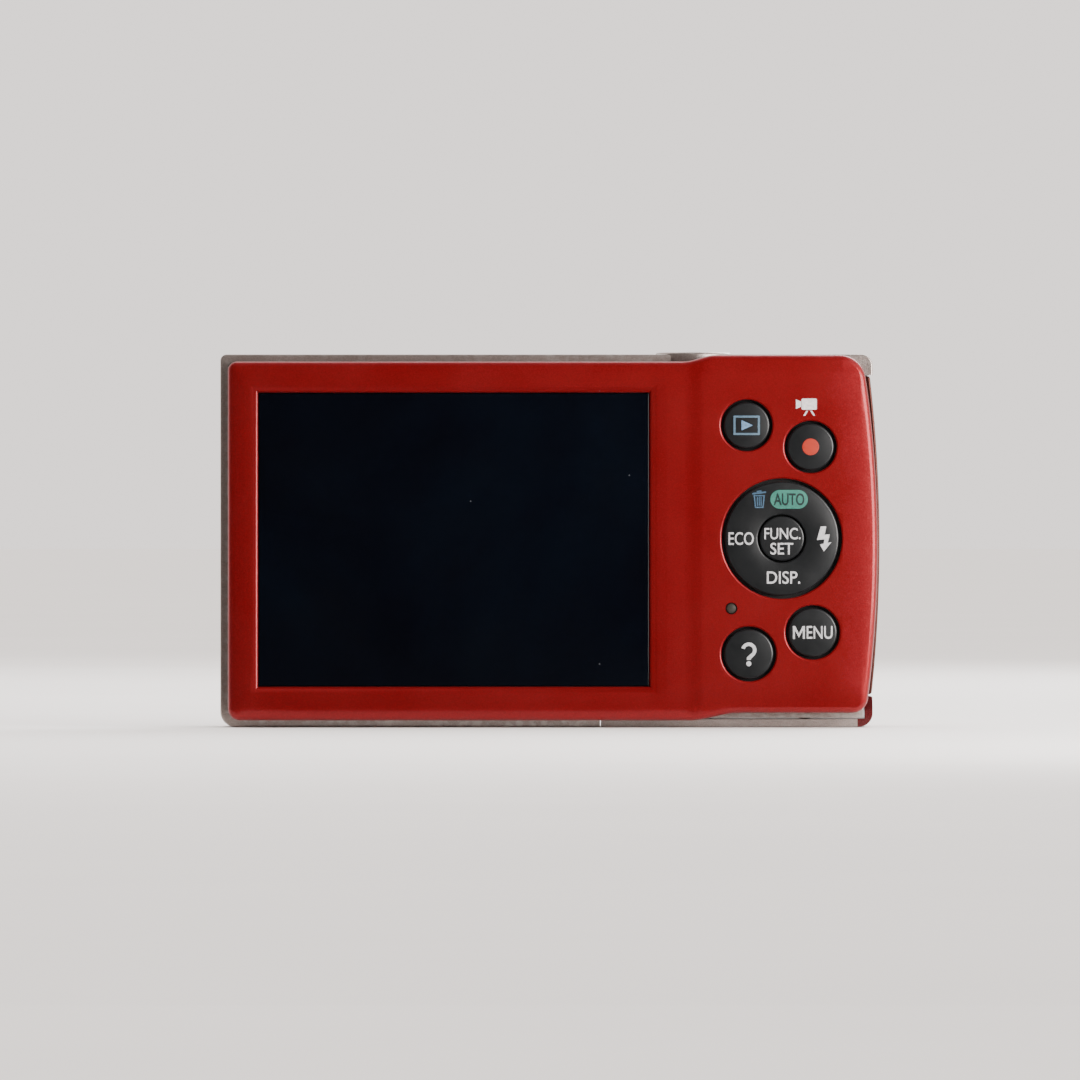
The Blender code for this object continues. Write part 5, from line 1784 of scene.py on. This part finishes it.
class CAMERA_OT_inner_pieces(bpy.types.Operator):
    """Give the pieces inside the case their finishes"""

    bl_idname = "camera_parts.inner_pieces"
    bl_label = "Inner pieces"

    def execute(self, context):
        rubber = moulded_finish("key_rubber", (0.06, 0.06, 0.062), (0.7, 0.85), depth=0.3)
        board = board_finish()
        label = moulded_finish("label_charcoal", (0.022, 0.023, 0.026), (0.35, 0.5), grain=9000.0, depth=0.1)
        brass = sheet_finish("gold_contacts", (0.75, 0.56, 0.22))
        finishes = {
            plated_steel(): ("chassis_plate", "card_socket", "door_slider", "zoom_motor"),
            nylon(): ("nav_ring_base", "release_base", "lens_housing", "battery_box", "speaker",
                      "microphone"),
            rubber: ("key_pad",),
            board: ("main_board", "control_board"),
            label: ("battery", "memory_card"),
            brass: ("battery_terminals",),
            pin_steel(): ("door_hinge_pin",),
            moulded_finish("panel_black", (0.008, 0.008, 0.009)): ("lcd_panel",),
            moulded_finish("backlight_white", (0.7, 0.7, 0.68), (0.4, 0.5)): ("lcd_backlight",),
            moulded_finish("latch_orange", (0.42, 0.12, 0.02), (0.35, 0.5)): ("battery_latch",),
            moulded_finish("sensor_ceramic", (0.10, 0.09, 0.12), (0.2, 0.3)): ("image_sensor",),
            moulded_finish("capacitor_sleeve", (0.015, 0.018, 0.03), (0.3, 0.45)): ("flash_capacitor",),
            sheet_finish("reflector_bright", (0.85, 0.85, 0.86), (0.1, 0.2)): ("flash_reflector",),
            clear_finish("tube_glass", (0.95, 0.95, 0.92)): ("flash_tube",),
            clear_finish("rear_glass", (0.6, 0.66, 0.8), roughness=0.01, ior=1.6, tint=0.1): ("rear_lens",),
        }
        for material, nodes in finishes.items():
            for node in nodes:
                recolour(node, material)
        return {"FINISHED"}


# ---------------------------------------------------------------- stage


FLOOR_RADIUS = 30000.0
FLOOR_DROP = 0.04
EYE_X, EYE_Z = 1.44, 27.0
BODY_MIDDLE = (0.0, 0.0, 27.0)
FLAGS = {
    "dark_flag": ((-330, 900, -5), (900, 905, 600)),
    "low_flag": ((-330, 14, 1), (895, 895, 2)),
    "high_flag": ((-330, -200, 605), (900, 905, 610)),
    "side_flag": ((905, -100, 4), (910, 895, 600)),
}


def light(name, place, target, size, power, colour):
    """A rectangular soft light, out of the camera's sight."""
    lamp = bpy.data.lights.new(name, "AREA")
    lamp.shape = "RECTANGLE"
    lamp.size, lamp.size_y = size[0] * MM, size[1] * MM
    lamp.energy = power
    lamp.color = colour
    holder = bpy.data.objects.new(name, lamp)
    holder.location = Vector(place) * MM
    holder.rotation_euler = (Vector(target) - Vector(place)).to_track_quat("-Z", "Y").to_euler()
    bpy.context.scene.collection.objects.link(holder)
    holder.visible_camera = False


class CAMERA_OT_stage(bpy.types.Operator):
    """Set the pale floor, the soft light and the camera"""

    bl_idname = "camera_parts.stage"
    bl_label = "Stage"

    def execute(self, context):
        shape = bmesh.new()
        bmesh.ops.create_circle(shape, cap_ends=True, segments=96, radius=FLOOR_RADIUS)
        bmesh.ops.translate(shape, verts=shape.verts, vec=(0, 0, -FLOOR_DROP))
        floor = to_object("floor", shape, smooth=False)
        floor.data.materials.append(floor_finish())

        world = bpy.data.worlds.new("pale_room")
        world.use_nodes = True
        back = world.node_tree.nodes["Background"]
        back.inputs["Color"].default_value = (0.86, 0.80, 0.77, 1.0)
        back.inputs["Strength"].default_value = 1.85
        context.scene.world = world

        black = moulded_finish("flag_black", (0.004, 0.004, 0.005), (0.8, 0.9))
        for name, (low, high) in FLAGS.items():
            flag = block(name, low, high)
            flag.data.materials.append(black)
            flag.visible_camera = False
            flag.visible_diffuse = False
            flag.visible_shadow = False

        light("key_light", (-230.0, 160.0, 62.0), (-10.0, 0.0, 24.0), (200.0, 150.0), 1.9, (1.0, 0.97, 0.95))
        light("top_light", (60.0, -40.0, 700.0), BODY_MIDDLE, (600.0, 600.0), 2.5, (0.95, 0.97, 1.0))
        light("front_light", (-260.0, -480.0, 420.0), BODY_MIDDLE, (400.0, 400.0), 4.5, (0.98, 0.98, 1.0))

        noon = bpy.data.lights.new("overhead", "SUN")
        noon.energy, noon.angle = 0.62, math.radians(80.0)
        overhead = bpy.data.objects.new("overhead", noon)
        context.scene.collection.objects.link(overhead)

        distance, width = set_length("view_distance"), set_length("frame_width")
        eye = bpy.data.cameras.new("eye")
        eye.sensor_width = 36.0
        eye.lens = eye.sensor_width * distance / width
        eye.clip_start, eye.clip_end = 0.01, 100.0
        holder = bpy.data.objects.new("eye", eye)
        holder.location = Vector((EYE_X, BACK_HIGH.y + distance, EYE_Z)) * MM
        holder.rotation_euler = (math.pi / 2, 0.0, math.pi)
        context.scene.collection.objects.link(holder)
        context.scene.camera = holder
        return {"FINISHED"}


PIECES = (
    CAMERA_OT_back_cover,
    CAMERA_OT_front_cover,
    CAMERA_OT_band,
    CAMERA_OT_grip_side,
    CAMERA_OT_case_screws,
    CAMERA_OT_keys,
    CAMERA_OT_nav_ring,
    CAMERA_OT_screen,
    CAMERA_OT_top_controls,
    CAMERA_OT_lens,
    CAMERA_OT_front_pieces,
    CAMERA_OT_base,
    CAMERA_OT_inner_pieces,
    CAMERA_OT_stage,
)


class CAMERA_PT_parts(bpy.types.Panel):
    """Sizes, colours and the operators that model each group of pieces"""

    bl_idname = "CAMERA_PT_parts"
    bl_label = "Compact camera"
    bl_space_type = "VIEW_3D"
    bl_region_type = "UI"
    bl_category = "Camera"

    def draw(self, context):
        facts = context.scene.camera_settings
        for name in CameraSettings.__annotations__:
            self.layout.prop(facts, name)
        for piece in PIECES:
            self.layout.operator(piece.bl_idname)


CLASSES = (CameraSettings, *PIECES, CAMERA_PT_parts)


def register():
    for each in CLASSES:
        bpy.utils.register_class(each)
    bpy.types.Scene.camera_settings = PointerProperty(type=CameraSettings)


def unregister():
    del bpy.types.Scene.camera_settings
    for each in reversed(CLASSES):
        bpy.utils.unregister_class(each)


def main():
    register()
    bpy.ops.camera_parts.back_cover()
    bpy.ops.camera_parts.front_cover()
    bpy.ops.camera_parts.band()
    bpy.ops.camera_parts.grip_side()
    bpy.ops.camera_parts.case_screws()
    bpy.ops.camera_parts.keys()
    bpy.ops.camera_parts.nav_ring()
    bpy.ops.camera_parts.screen()
    bpy.ops.camera_parts.top_controls()
    bpy.ops.camera_parts.lens()
    bpy.ops.camera_parts.front_pieces()
    bpy.ops.camera_parts.base()
    bpy.ops.camera_parts.inner_pieces()
    bpy.ops.camera_parts.stage()


if __name__ == "__main__":
    main()
